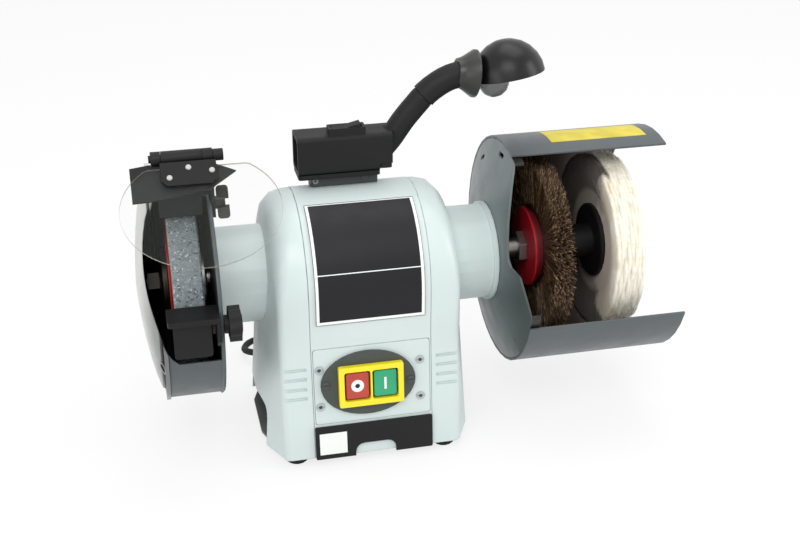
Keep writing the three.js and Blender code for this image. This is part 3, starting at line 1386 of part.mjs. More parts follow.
function makeBuff() {
  const bore = rightArborRadius + gap;
  const near = brushRight + brushFlangeThickness + gap;
  const flangeLeft = buffLeft - gap - buffFlangeThickness;
  const inner = turnedX([
    [bore, near], [sleeveRadius, near], [sleeveRadius, flangeLeft], [buffFlange - 1, flangeLeft],
    [buffFlange, flangeLeft + 1], [buffFlange, buffLeft - gap], [bore, buffLeft - gap], [bore, near],
  ], round);
  part('buff_flange_inner', inner, 'black');
  const [rimLeft, rimRight] = [buffLeft - buffSpreadLeft, buffRight + buffSpreadRight];
  const ply = (rimRight - rimLeft) / buffPlies;
  const rim = [];
  for (let i = 0; i < buffPlies; i += 1) {
    const x = rimLeft + i * ply;
    rim.push([buffRadius - buffPlyDepth, x + buffFold * ply], [buffRadius, x + ply / 2]);
  }
  rim.push([buffRadius - buffPlyDepth, rimRight - buffFold * ply]);
  const cloth = turnedX([
    [bore, buffLeft], [buffPinch, buffLeft], [buffLoose, rimLeft], [buffRadius - 2 * buffPlyDepth, rimLeft],
    ...rim, [buffRadius - 2 * buffPlyDepth, rimRight], [buffLoose, rimRight], [buffPinch, buffRight],
    [bore, buffRight], [bore, buffLeft],
  ], fine);
  part('buff', cloth, 'cotton');
  const outLeft = buffRight + gap;
  const outRight = outLeft + buffFlangeThickness;
  part('buff_flange_outer', turnedX([
    [bore, outLeft], [buffFlange, outLeft], [buffFlange, outRight - 1], [buffFlange - 1, outRight],
    [bore, outRight], [bore, outLeft],
  ], round), 'black');
  part('spindle_nut', hexNut(outerNutRadius, bore, outRight + gap, outRight + outerNutHeight), 'steel');
}

// Direction of the strain-relief boot, and the middle of its root on the gland's flange.
const bootWay = new THREE.Vector3(
  Math.cos(rad(bootHeading)) * Math.cos(rad(bootDrop)),
  Math.sin(rad(bootHeading)) * Math.cos(rad(bootDrop)), -Math.sin(rad(bootDrop)),
);
const glandRear = () => halfDepth(glandZ) + gap;
const bootFoot = () => new THREE.Vector3(glandX, glandRear() + glandSink * glandThickness, glandZ);

// Points of the cord's free stretch, from the boot's tip to the coil.
function cordPath() {
  const start = bootFoot().addScaledVector(bootWay, bootLength + gap);
  return cordRoute.map(([x, y, share]) => (
    new THREE.Vector3(start.x + x, start.y + y, lerp(cordLift, start.z, share))
  ));
}
const coilX = () => cordPath().at(-1).x + gap + 2 * cordRadius;
const coilY = () => cordPath().at(-1).y + coilOuter;

// Coil of the unseen cord: spirals in on the floor, climbs one layer, spirals out again.
class CoilCurve extends THREE.Curve {
  getPoint(t, target = new THREE.Vector3()) {
    const perTurn = 2 * Math.PI * coilOuter;
    const run = lerp(-2 * cordRadius / perTurn, coilTurns + coilTail / perTurn, t);
    const u = Math.min(coilTurns, Math.max(0, run));
    const half = coilTurns / 2;
    const back = Math.abs(u - half);
    const eased = back < coilEase ? (back ** 2 / coilEase + coilEase) / 2 : back;
    const r = coilOuter - coilPitch * (half - eased);
    const climb = Math.min(1, Math.max(0, (u - half + 0.25) * 2));
    const a = -Math.PI / 2 + 2 * Math.PI * u;
    return target.set(
      coilX() + r * Math.cos(a) + perTurn * (run - u), coilY() + r * Math.sin(a),
      cordLift + coilLayer * climb * climb * (3 - 2 * climb),
    );
  }
}

// Least clear distance between the coil's own turns, measured on its centre line.
function coilClearance(curve, samples) {
  const points = curve.getPoints(samples);
  const apart = Math.round(samples / coilTurns / 3);
  let least = Infinity;
  for (let i = 0; i < points.length; i += 1) {
    for (let j = i + apart; j < points.length; j += 1) {
      least = Math.min(least, points[i].distanceTo(points[j]));
    }
  }
  return least - 2 * cordRadius;
}

function makeCord() {
  const flange = turned(
    [[0, 0], [glandRadius, 0], [glandRadius - glandChamfer, glandThickness], [0, glandThickness]], coarse,
    along([glandX, glandRear(), glandZ], [0, Math.cos(flareAngle), Math.sin(flareAngle)]),
  );
  const boot = turned(
    [[0, 0], [bootRoot, 0], [bootTip, bootLength], [0, bootLength]], coarse,
    along(bootFoot().toArray(), bootWay.toArray()),
  );
  part('cord_gland', join(flange, boot), 'rubber');

  const cord = new THREE.CatmullRomCurve3(cordPath(), false, 'centripetal');
  part('cord', sweep(cord, cordRadius, cordRings, cordSides), 'rubber');

  const coil = new CoilCurve();
  const loops = sweep(coil, cordRadius, coilTurns * coilStepsPerTurn, coilSides);
  part('cord_coil', loops, 'rubber');
  makePlug();
  console.log(`least gap between the coil's turns: ${coilClearance(coil, 700).toFixed(2)} mm`);
}

// Two-pin plug at the coil's upper end, lying on the floor.
function makePlug() {
  const y = coilY() - coilOuter;
  const z = cordLift + coilLayer;
  const start = coilX() + coilTail + gap;
  const body = start + plugTail;
  const end = body + plugLength;
  const tail = turnedX(
    [[0, start], [cordRadius + 0.6, start], [plugHeight / 3, body + 1], [0, body + 1]], coarse, z, y,
  );
  const grip = slabZ([
    [body, y - plugWidth / 3], [body + plugLength / 3, y - plugWidth / 2], [end, y - plugWidth / 2],
    [end, y + plugWidth / 2], [body + plugLength / 3, y + plugWidth / 2], [body, y + plugWidth / 3],
  ], z - plugHeight / 2, z + plugHeight / 2);
  const pins = [-1, 1].map((s) => rodX(plugPinRadius, end - 1, end + pinLength, y + s * plugPinPitch, z));
  part('plug', join(grip, tail, ...pins), 'rubber');
}

makeMotorHousing();
makeEndFrame(-1, 'end_frame_left', neckEndLeft);
makeEndFrame(1, 'end_frame_right', neckEndRight);
makeBase();
makeRatingPlate();
makeSwitches();
makeMotor();
makeLeftGuard();
makeGuardCover();
makeWheel();
makeShaft();
makeToolRest();
makeShieldBracket();
makeDeflector();
makeWingNut();
makeEyeShield();
makeLampBase();
makeGooseneck();
makeLampHead();
makeDrum();
makeBrush();
makeBuff();
makeCord();

// The origin is the middle of the machine's footprint on the floor; the free cord doesn't count.
const extent = new THREE.Box3();
for (const mesh of tools.children) {
  if (!['cord', 'cord_coil', 'plug'].includes(mesh.name)) extent.expandByObject(mesh);
}
const middle = extent.getCenter(new THREE.Vector3());
tools.position.set(-middle.x, -middle.y, -extent.min.z);

export default group;
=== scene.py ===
import json
import math
import random

import bmesh
import bpy
from mathutils import Matrix, Vector
from mathutils.bvhtree import BVHTree


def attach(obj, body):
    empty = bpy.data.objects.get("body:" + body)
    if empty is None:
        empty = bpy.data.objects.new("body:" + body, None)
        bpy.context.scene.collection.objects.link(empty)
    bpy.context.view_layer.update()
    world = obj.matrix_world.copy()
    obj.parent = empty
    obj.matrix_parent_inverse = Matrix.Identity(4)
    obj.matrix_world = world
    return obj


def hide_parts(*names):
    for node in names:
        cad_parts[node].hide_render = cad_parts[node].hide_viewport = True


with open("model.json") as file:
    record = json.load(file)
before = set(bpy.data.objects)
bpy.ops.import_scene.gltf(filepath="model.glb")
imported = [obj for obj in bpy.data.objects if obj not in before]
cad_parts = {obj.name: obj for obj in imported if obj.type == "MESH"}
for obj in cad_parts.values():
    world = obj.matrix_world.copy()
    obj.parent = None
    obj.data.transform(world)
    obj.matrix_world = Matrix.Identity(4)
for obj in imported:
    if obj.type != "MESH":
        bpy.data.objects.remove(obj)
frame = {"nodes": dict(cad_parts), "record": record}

nodes = frame["nodes"]
MM = 0.001
# The drawing's zero lies on the floor, below the shaft and the middle of the motor body.
SHIFT = Vector((-35.75, 2.6518, 0.0)) * MM
AXIS = 142.0


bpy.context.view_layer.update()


def at(x, y, z):
    """A point given in the drawing's millimetres."""
    return Vector((x, y, z)) * MM + SHIFT


def about_axis(x, r, a):
    """A point at a radius and an angle about the shaft axis; the angle runs up from the rear."""
    return at(x, r * math.cos(a), AXIS + r * math.sin(a))


def part_turn(i, count):
    return 2 * math.pi * i / count


def add_object(name, data):
    obj = bpy.data.objects.new(name, data)
    bpy.context.scene.collection.objects.link(obj)
    return obj


# Camera, fitted to the photograph

CAMERA_LENS, CAMERA_SENSOR, CAMERA_CLIP = 57.285, 36, 0.01
CAMERA_PLACE = (-173.3, -920.3, 587.1)
CAMERA_RIGHT, CAMERA_FORWARD = (0.974566, -0.224101, 0), (0.202017, 0.878528, -0.432873)


def make_camera():
    data = bpy.data.cameras.new("photo_camera")
    data.lens = CAMERA_LENS
    data.sensor_width = CAMERA_SENSOR
    data.clip_start = CAMERA_CLIP
    camera = add_object("photo_camera", data)
    right = Vector(CAMERA_RIGHT).normalized()
    forward = Vector(CAMERA_FORWARD).normalized()
    up = right.cross(forward).normalized()
    turn = Matrix((right, up, -forward)).transposed()
    camera.matrix_world = Matrix.Translation(at(*CAMERA_PLACE)) @ turn.to_4x4()
    bpy.context.scene.camera = camera


make_camera()


# Materials

# Most of a noise texture's values lie between these two.
NOISE_SPAN = (0.3, 0.7)
EDGE_SPAN = (0.02, 0.2)
SPOT_EDGE = 0.93
WEAR_SCALE, WEAR_SPAN, WORN_LIGHT = 190, (0.35, 0.75), 1.35
INSIDE_SHADE_SCALE, INSIDE_SHADE_LIGHT = 34, 1.7
GLOSS_SCALE, GLOSS_SWING, COAT_ROUGH = 70, 0.05, 0.08


def linear(r, g, b):
    """A colour given as 0 to 255 screen values, taken back through the sRGB curve."""
    def one(v):
        v /= 255
        return v / 12.92 if v <= 0.04045 else ((v + 0.055) / 1.055) ** 2.4
    return (one(r), one(g), one(b), 1)


def shade(colour, factor):
    return tuple(min(1, c * factor) for c in colour[:3]) + (1,)


class Recipe:
    """Builds a node material: put() adds a node and sets or links its inputs."""

    def __init__(self, name):
        self.material = bpy.data.materials.new(name)
        self.material.use_nodes = True
        self.tree = self.material.node_tree
        self.tree.nodes.clear()
        self.where = self.put("ShaderNodeTexCoord").outputs["Object"]

    def put(self, kind, inputs=None, **settings):
        node = self.tree.nodes.new(kind)
        for key, value in settings.items():
            setattr(node, key, value)
        for key, value in (inputs or {}).items():
            socket = node.inputs[key]
            if isinstance(value, bpy.types.NodeSocket):
                self.tree.links.new(value, socket)
            else:
                socket.default_value = value
        return node

    def noise(self, scale, detail=2.0, rough=0.5, where=None):
        return self.put("ShaderNodeTexNoise", {
            "Vector": where or self.where, "Scale": scale, "Detail": detail, "Roughness": rough,
        }).outputs["Fac"]

    def span(self, value, low, high, new_low=0.0, new_high=1.0):
        return self.put("ShaderNodeMapRange", {
            "Value": value, "From Min": low, "From Max": high, "To Min": new_low, "To Max": new_high,
        }).outputs["Result"]

    def cloud(self, scale, detail, low=0.0, high=1.0, rough=0.5):
        """Noise stretched over the wanted values."""
        return self.span(self.noise(scale, detail, rough), *NOISE_SPAN, low, high)

    def maths(self, operation, a, b=0.0):
        return self.put("ShaderNodeMath", {0: a, 1: b}, operation=operation).outputs[0]

    def dot(self, a, b):
        return self.put("ShaderNodeVectorMath", {0: a, 1: b}, operation="DOT_PRODUCT").outputs["Value"]

    def mix(self, factor, a, b):
        node = self.put("ShaderNodeMix", data_type="RGBA")
        for index, value in ((0, factor), (6, a), (7, b)):
            if isinstance(value, bpy.types.NodeSocket):
                self.tree.links.new(value, node.inputs[index])
            else:
                node.inputs[index].default_value = value
        return node.outputs[2]

    def near(self, centre, radius):
        """1 inside a small ball round a point, 0 outside."""
        apart = self.put("ShaderNodeVectorMath", {0: self.where, 1: tuple(centre)}, operation="DISTANCE")
        return self.span(apart.outputs["Value"], radius, radius * SPOT_EDGE)

    def reach(self):
        """X, how far a point lies behind and above the shaft axis, and its distance from the axis."""
        parts = self.put("ShaderNodeSeparateXYZ", {"Vector": self.where})
        up = self.maths("SUBTRACT", parts.outputs["Z"], AXIS * MM)
        back = self.maths("SUBTRACT", parts.outputs["Y"], SHIFT.y)
        squares = self.maths("ADD", self.maths("MULTIPLY", up, up), self.maths("MULTIPLY", back, back))
        return parts.outputs["X"], back, up, self.maths("SQRT", squares)

    def geometry(self, output):
        return self.put("ShaderNodeNewGeometry").outputs[output]

    def sideways(self):
        """X of the face's normal: 1 where it looks right, -1 where it looks left."""
        return self.put("ShaderNodeSeparateXYZ", {"Vector": self.geometry("True Normal")}).outputs["X"]

    def rounded(self, radius):
        return self.put("ShaderNodeBevel", {"Radius": radius}, samples=4).outputs["Normal"]

    def edge(self, normal):
        """Grows from 0 to 1 where the rounded normal leaves the true one, so on edges."""
        same = self.dot(normal, self.geometry("Normal"))
        return self.span(self.maths("SUBTRACT", 1.0, same), *EDGE_SPAN)

    def bump(self, height, distance, strength, **normal):
        inputs = {"Height": height, "Distance": distance, "Strength": strength, **normal}
        return self.put("ShaderNodeBump", inputs).outputs["Normal"]

    def finish(self, **inputs):
        shader = self.put("ShaderNodeBsdfPrincipled", {k.replace("_", " "): v for k, v in inputs.items()})
        self.put("ShaderNodeOutputMaterial", {"Surface": shader.outputs["BSDF"]})
        return self.material


def coated(
    name, colour, rough, grain=0.00004, grain_scale=650, mottle=0.05, mottle_scale=16, wear=0.25,
    worn=None, radius=0.0007, level=0.5, metallic=0.0, coat=0.0, spots=(), inside_shade=None,
    inside_shade_colour=None, painted_shade=None, painted_shade_colour=None,
):
    """Paint, plastic or metal with soft mottling, fine grain, eased edges and wear along them; shade can be
    painted in over given masks.
    """
    m = Recipe(name)
    soft = m.rounded(radius)
    tone = m.mix(m.cloud(mottle_scale, 4), shade(colour, 1 - mottle), shade(colour, 1 + mottle))
    rubbed = m.maths("MULTIPLY", m.edge(soft), m.span(m.noise(WEAR_SCALE, 3), *WEAR_SPAN, 0, wear))
    tone = m.mix(rubbed, tone, worn or shade(colour, WORN_LIGHT))
    for centre, size, spot_colour in spots:
        tone = m.mix(m.near(centre, size), tone, spot_colour)
    # Darkening over a mask: painted shade.
    if painted_shade:
        tone = m.mix(painted_shade(m), tone, painted_shade_colour)
    # Insides of the guards, darkened with a patchy tone: painted shade.
    if inside_shade:
        patchy_shade = m.mix(m.noise(INSIDE_SHADE_SCALE, 4), inside_shade_colour, shade(inside_shade_colour, INSIDE_SHADE_LIGHT))
        tone = m.mix(inside_shade(m), tone, patchy_shade)
    return m.finish(
        Base_Color=tone, Roughness=m.cloud(GLOSS_SCALE, 3, rough - GLOSS_SWING, rough + GLOSS_SWING),
        Metallic=metallic, Specular_IOR_Level=level, Coat_Weight=coat, Coat_Roughness=COAT_ROUGH,
        Normal=m.bump(m.noise(grain_scale, 2, 0.6), grain, 1.0, Normal=soft),
    )


# Masks: the insides of the guards, found from the drawing's own radii and planes, where shade is
# painted in, and the other places where painted shade changes a tone. Each pair is where a mask
# starts and where it is full: radii in metres, planes in the drawing's millimetres.

GUARD_BAND, GUARD_PLANE = (0.09, 0.0898), (-117.4, -117.5)
COVER_PLANE, COVER_DEPTH, COVER_RADIUS, COVER_POWER = -156.6, 0.016, 0.0896, 1.6
COVER_SKIN = (1.06, 1.03)
SHELL_SKIN = (0.0926, 0.0924)
PLATE_PLANE, PLATE_SIDE = (123.3, 123.6), (0.2, 0.3)
FRONT_SHADE = (-0.03, -0.075)
HUB_SHADE, HUB_FLAT = (0.004, 0.02), (0.7, 0.4)
RAGGED = 0.006
PAPER_SIDE, PAPER_RADIUS = (-0.5, -0.7), (0.0695, 0.069)


def planes(pair):
    return [at(x, 0, 0).x for x in pair]


def guard_inside(m):
    across, _, _, reach = m.reach()
    return m.maths("MULTIPLY", m.span(reach, *GUARD_BAND), m.span(across, *planes(GUARD_PLANE)))


def cover_inside(m):
    """Inside the domed cover: a superellipse of the radius and of the depth behind its rim."""
    across, _, _, reach = m.reach()
    depth = m.maths("SUBTRACT", at(COVER_PLANE, 0, 0).x, across)
    bulge = m.maths("MAXIMUM", m.maths("DIVIDE", depth, COVER_DEPTH), 0.0)
    share = m.maths("DIVIDE", reach, COVER_RADIUS)
    total = m.maths("ADD", m.maths("POWER", share, COVER_POWER), m.maths("POWER", bulge, COVER_POWER))
    return m.span(total, *COVER_SKIN)


def shell_inside(m):
    return m.span(m.reach()[3], *SHELL_SKIN)


def plate_inside(m):
    right = m.span(m.sideways(), *PLATE_SIDE)
    return m.maths("MAXIMUM", right, m.span(m.reach()[0], *planes(PLATE_PLANE)))


def ragged_depth(m, scale, detail):
    """How far a point lies behind the shaft axis, made uneven."""
    return m.maths("ADD", m.reach()[1], m.cloud(scale, detail, -RAGGED, RAGGED))


# Grows toward the front, with a ragged edge: the mask of a painted shade.
def shade_toward_front(m):
    return m.span(ragged_depth(m, 20, 3), *FRONT_SHADE)


def hub_rim(m):
    """The red flange's turned edge and its rear half, darkened with a ragged edge: painted shade."""
    flat = m.maths("ABSOLUTE", m.sideways())
    dust_and_shade = m.span(ragged_depth(m, 60, 4), *HUB_SHADE, 0, 0.75)
    return m.maths("MAXIMUM", m.span(flat, *HUB_FLAT, 0, 0.85), dust_and_shade)


def turned_metal(name, colour, rough, radius=0.0006):
    """Machined metal: fine tool marks round the shaft axis."""
    m = Recipe(name)
    across, _, _, reach = m.reach()
    line = m.put("ShaderNodeCombineXYZ", {"X": across, "Y": reach})
    marks = m.noise(2600, 2, 0.6, line.outputs["Vector"])
    return m.finish(
        Base_Color=m.mix(m.cloud(22, 3), shade(colour, 0.85), shade(colour, 1.1)),
        Metallic=1.0, Roughness=m.span(marks, *NOISE_SPAN, rough - 0.08, rough + 0.1),
        Normal=m.bump(marks, 0.00002, 0.6, Normal=m.rounded(radius)),
    )


def grit(name):
    """Bonded abrasive: grains a few tenths of a millimetre across, in patches of grey."""
    m = Recipe(name)
    patch = m.cloud(300, 3, rough=0.7)
    cells = m.put("ShaderNodeTexVoronoi", {"Vector": m.where, "Scale": 800.0})
    sparkle = m.put("ShaderNodeSeparateColor", {"Color": cells.outputs["Color"]}).outputs["Red"]
    tone = m.mix(patch, linear(112, 121, 124), linear(146, 155, 158))
    tone = m.mix(m.span(sparkle, 0.92, 0.96), tone, linear(180, 189, 192))
    tone = m.mix(m.span(sparkle, 0.1, 0.05), tone, linear(84, 91, 95))
    paper = m.maths("MULTIPLY", m.span(m.sideways(), *PAPER_SIDE), m.span(m.reach()[3], *PAPER_RADIUS))
    tone = m.mix(paper, tone, m.mix(patch, linear(214, 84, 74), linear(226, 104, 92)))
    return m.finish(
        Base_Color=tone, Roughness=0.85, Specular_IOR_Level=0.35,
        Normal=m.bump(cells.outputs["Distance"], 0.0005, 0.9),
    )


def clear_sheet(name, normal):
    """Clear plastic sheet: see-through faces and pale sawn edges."""
    m = Recipe(name)
    same = m.dot(m.geometry("True Normal"), tuple(normal))
    side = m.span(m.maths("ABSOLUTE", same), 0.8, 0.5)
    scratch = m.put("ShaderNodeMapping", {"Vector": m.where, "Scale": (1, 14, 14)}).outputs["Vector"]
    scuffs = m.span(m.noise(30, 2, 0.5, scratch), 0.58, 0.8, 0, 0.03)
    alpha = m.maths("ADD", m.maths("ADD", m.maths("MULTIPLY", side, 0.66), 0.03), scuffs)
    tone = m.mix(side, linear(150, 156, 150), linear(150, 150, 136))
    return m.finish(Base_Color=tone, Roughness=0.08, Alpha=alpha, IOR=1.49)


def glass(name):
    m = Recipe(name)
    # The dark base tone, and the opacity that grows toward grazing angles, are a painted reflection of the
    # dark shade round the bulb.
    facing = m.put("ShaderNodeLayerWeight", {"Blend": 0.35}).outputs["Facing"]
    dust_and_shade = m.span(m.noise(90, 4), 0.3, 0.75, 0.03, 0.1)
    alpha = m.maths("ADD", m.span(facing, 0.2, 1.0, 0.6, 0.88), dust_and_shade)
    return m.finish(Base_Color=linear(34, 36, 38), Roughness=0.06, Alpha=alpha, IOR=1.5)


def wire(name, dark, bright, metallic):
    """Spring wire: every strand has its own tone."""
    m = Recipe(name)
    own = m.geometry("Random Per Island")
    tone = m.mix(m.maths("POWER", own, 3.0), dark, bright)
    tone = m.mix(m.span(m.noise(420, 3), 0.4, 0.6, 0, 0.7), tone, dark)
    return m.finish(Base_Color=tone, Metallic=metallic, Roughness=0.36)


DIRT_AND_SHADE_FACE = (206.5, 203.5)


def cotton(name):
    """Cotton cloth: woven threads, creases that run out from the middle, and dark brown over the rear of
    one face, partly polish dirt and partly painted shade.
    """
    m = Recipe(name)
    across, back, up, reach = m.reach()
    turn = m.maths("ARCTAN2", up, back)
    polar = m.put("ShaderNodeCombineXYZ", {
        "X": m.maths("MULTIPLY", turn, 6.0), "Y": m.maths("MULTIPLY", reach, 12.0), "Z": across,
    }).outputs["Vector"]
    crease = m.noise(3.4, 4, 0.6, polar)
    weave = m.put("ShaderNodeTexWave", {
        "Vector": m.where, "Scale": 520.0, "Distortion": 6.0, "Detail": 2.0, "Detail Scale": 3.0,
    }).outputs["Fac"]
    height = m.maths("ADD", crease, m.maths("MULTIPLY", weave, 0.12))
    # The tone follows the creases, a little darker where they sink: painted shade.
    tone = m.mix(m.span(crease, *NOISE_SPAN), linear(250, 244, 226), linear(255, 252, 242))
    left = m.span(across, *planes(DIRT_AND_SHADE_FACE))
    blot = m.cloud(38, 5, -0.02, 0.02, 0.65)
    tan = m.maths("MULTIPLY", left, m.span(m.maths("ADD", reach, blot), 0.076, 0.062, 0, 0.8))
    tone = m.mix(tan, tone, linear(232, 220, 192))
    # Dark brown over the rear of the left face, reaching further at the top and bottom: partly polish dirt,
    # partly painted shade.
    spread = m.maths("ADD", m.span(up, 0.0, 0.05, 0, 0.022), m.span(up, -0.03, -0.055, 0, 0.055))
    rear = m.maths("ADD", m.maths("ADD", back, blot), spread)
    dirt_and_shade = m.maths("MULTIPLY", left, m.span(rear, -0.012, 0.006, 0, 0.95))
    return m.finish(
        Base_Color=m.mix(dirt_and_shade, tone, linear(60, 42, 30)), Roughness=0.95, Specular_IOR_Level=0.15,
        Sheen_Weight=0.25, Sheen_Roughness=0.5, Normal=m.bump(height, 0.0014, 0.3),
    )


PANEL_FLARE = math.atan2(10, 98)
PANEL_UP = Vector((0, math.sin(PANEL_FLARE), math.cos(PANEL_FLARE)))
PANEL_OUT = Vector((0, -math.cos(PANEL_FLARE), math.sin(PANEL_FLARE)))
PANEL_Y, PANEL_Z = -69.878, 69
SHIELD_SLOPE = math.radians(44.46)
PIN_Y, PIN_Z = -45.6, 261.3


def on_panel(x, v, out=0.0):
    """A point of the flared front face: across, up the face from the panel's middle, and out of it."""
    return at(x, PANEL_Y, PANEL_Z) + PANEL_UP * v * MM + PANEL_OUT * out * MM


def on_slope(x, down, high):
    """A point of the eye shield's plane: across, down the slope from the hinge pin, and above it."""
    run, fall = math.cos(SHIELD_SLOPE), math.sin(SHIELD_SLOPE)
    return at(x, PIN_Y - down * run - high * fall, PIN_Z - down * fall + high * run)


# Painted fasteners, each a ball of colour: centre, radius in metres, colour

SCREW_MIDDLE, SCREW_ACROSS, SCREW_UP, SCREW_OUT = -1.8, 40.5, 15.8, 0.6
RIVET_HIGH, RIVET_RADIUS = 5.7, 0.0023
# The small dark ball inside each screw is painted shade in its recess.
PANEL_SCREWS = [
    (on_panel(SCREW_MIDDLE + SCREW_ACROSS * a, SCREW_UP * b, SCREW_OUT), size, tone)
    for a in (-1, 1) for b in (-1, 1)
    for size, tone in ((0.0037, linear(176, 184, 184)), (0.0016, linear(66, 72, 76)))
]
RIVETS = [
    (on_slope(x, down, RIVET_HIGH), RIVET_RADIUS, linear(196, 194, 190))
    for x, down in ((-144, 17.7), (-113.5, 14), (-130, 10.5))
]
# The small dark ball inside the screw is painted shade in its recess.
FOOT_SCREW = [
    (at(-28.6, 7, 212.6), 0.0024, linear(150, 153, 152)),
    (at(-28.6, 6.6, 212.6), 0.0012, linear(70, 72, 72)),
]

CAST_PAINT = dict(
    colour=linear(206, 219, 217), rough=0.36, grain=0.00006, grain_scale=420, mottle=0.02, wear=0.1,
)
BLACK_STEEL = dict(rough=0.5, level=0.25, wear=0.3)
BARE_EDGE = linear(160, 168, 170)
COATED = {
    "casting": dict(CAST_PAINT, radius=0.0009),
    "panel_paint": dict(CAST_PAINT, radius=0.0006, spots=PANEL_SCREWS),
    "side_plate": dict(
        colour=linear(98, 103, 101), rough=0.55, mottle=0.25, mottle_scale=40, level=0.3,
    ),
    "black_metal": dict(BLACK_STEEL, colour=linear(24, 24, 25), worn=linear(88, 88, 86)),
    "clamp_black": dict(BLACK_STEEL, colour=linear(22, 22, 23), worn=linear(80, 80, 78), spots=RIVETS),
    "black_plastic": dict(
        colour=linear(25, 25, 25), rough=0.56, level=0.25, worn=linear(66, 66, 64), grain=0.00008,
        grain_scale=900,
    ),
    "grey_plastic": dict(colour=linear(72, 78, 76), rough=0.5, level=0.3, worn=linear(90, 92, 90)),
    "foot_grey": dict(colour=linear(66, 70, 70), rough=0.5, level=0.3, spots=FOOT_SCREW),
    "cup_black": dict(colour=linear(46, 46, 44), rough=0.34, level=0.45, worn=linear(90, 90, 88)),
    "gloss_black": dict(colour=linear(15, 15, 16), rough=0.34, level=0.34, worn=linear(60, 60, 60)),
    "yellow": dict(colour=linear(246, 226, 40), rough=0.4, mottle=0.03),
    "red_button": dict(colour=linear(184, 66, 56), rough=0.4, mottle=0.05, mottle_scale=60),
    "green_button": dict(colour=linear(44, 162, 116), rough=0.4, mottle=0.06, mottle_scale=60),
    "copper": dict(colour=linear(168, 104, 62), rough=0.4, metallic=0.6),
    "alloy": dict(
        colour=linear(192, 195, 191), rough=0.34, mottle=0.03, wear=0.4, worn=linear(226, 228, 226),
        radius=0.0012,
    ),
    # Darker toward the front and dark inside: painted shade.
    "cover_paint": dict(
        colour=linear(196, 198, 193), rough=0.32, mottle=0.03, wear=0.35, worn=linear(228, 229, 226),
        radius=0.001, inside_shade=cover_inside, inside_shade_colour=linear(34, 34, 33), painted_shade=shade_toward_front,
        painted_shade_colour=linear(112, 116, 114),
    ),
    # Dark inside the guard: painted shade.
    "guard_paint": dict(
        colour=linear(76, 84, 86), rough=0.4, mottle=0.05, wear=0.5, worn=BARE_EDGE,
        inside_shade=guard_inside, inside_shade_colour=linear(32, 35, 36),
    ),
    # Dark brown inside the drum: painted shade.
    "drum_paint": dict(
        colour=linear(78, 85, 88), rough=0.38, mottle=0.06, wear=0.6, worn=BARE_EDGE,
        inside_shade=shell_inside, inside_shade_colour=linear(42, 30, 23),
    ),
    # Darker toward the front and dark on its inner face: painted shade.
    "drum_plate_paint": dict(
        colour=linear(104, 114, 115), rough=0.36, mottle=0.1, wear=0.6, worn=BARE_EDGE,
        painted_shade=shade_toward_front, painted_shade_colour=linear(62, 69, 69), inside_shade=plate_inside,
        inside_shade_colour=linear(22, 21, 20),
    ),
    "red": dict(colour=linear(205, 70, 62), rough=0.5, mottle=0.08),
    # Turned edge and rear half darker: painted shade.
    "hub_red": dict(
        colour=linear(222, 36, 52), rough=0.38, mottle=0.05, coat=0.1, painted_shade=hub_rim,
        painted_shade_colour=linear(84, 26, 28),
    ),
    "rubber": dict(
        colour=linear(36, 36, 36), rough=0.7, level=0.25, grain=0.0001, grain_scale=800,
        worn=linear(62, 62, 62),
    ),
    "white_mark": dict(colour=linear(240, 242, 240), rough=0.5, mottle=0.02, radius=0.0001),
    "label_yellow": dict(
        colour=linear(218, 200, 62), rough=0.5, mottle=0.14, mottle_scale=60, radius=0.0001,
    ),
    "print_black": dict(colour=linear(28, 28, 31), rough=0.45, level=0.25, mottle=0.1, radius=0.0003),
}
materials = {name: coated(name, **look) for name, look in COATED.items()}
materials.update({
    "steel": turned_metal("steel", linear(168, 166, 164), 0.36),
    "dark_steel": turned_metal("dark_steel", linear(60, 58, 54), 0.45),
    "abrasive": grit("abrasive"),
    "clear": clear_sheet("clear", (0, -math.sin(SHIELD_SLOPE), math.cos(SHIELD_SLOPE))),
    "glass": glass("glass"),
    "wire": wire("wire", linear(68, 47, 32), linear(208, 172, 128), 0.25),
    "cotton": cotton("cotton"),
})
# Nodes whose look differs from the rest of their slot
RECOLOURED = {
    "front_panel": "panel_paint", "guard_cover": "cover_paint", "guard_left": "guard_paint",
    "drum_shell": "drum_paint", "drum_end_plate": "drum_plate_paint", "rating_plate": "print_black",
    "switch_plate": "grey_plastic", "shield_clamp": "clamp_black", "spark_deflector": "black_metal",
    "wing_nut": "dark_steel", "rest_bolt": "dark_steel", "wheel_nut": "dark_steel",
    "wheel_flange_outer": "dark_steel", "base_plate": "side_plate", "lamp_foot": "foot_grey",
    "lamp_cup": "cup_black", "brush_hub": "hub_red",
}


# Smooth shading for the drawing's own solids, by modifiers that leave their meshes alone

SHARP_FROM = math.radians(34)


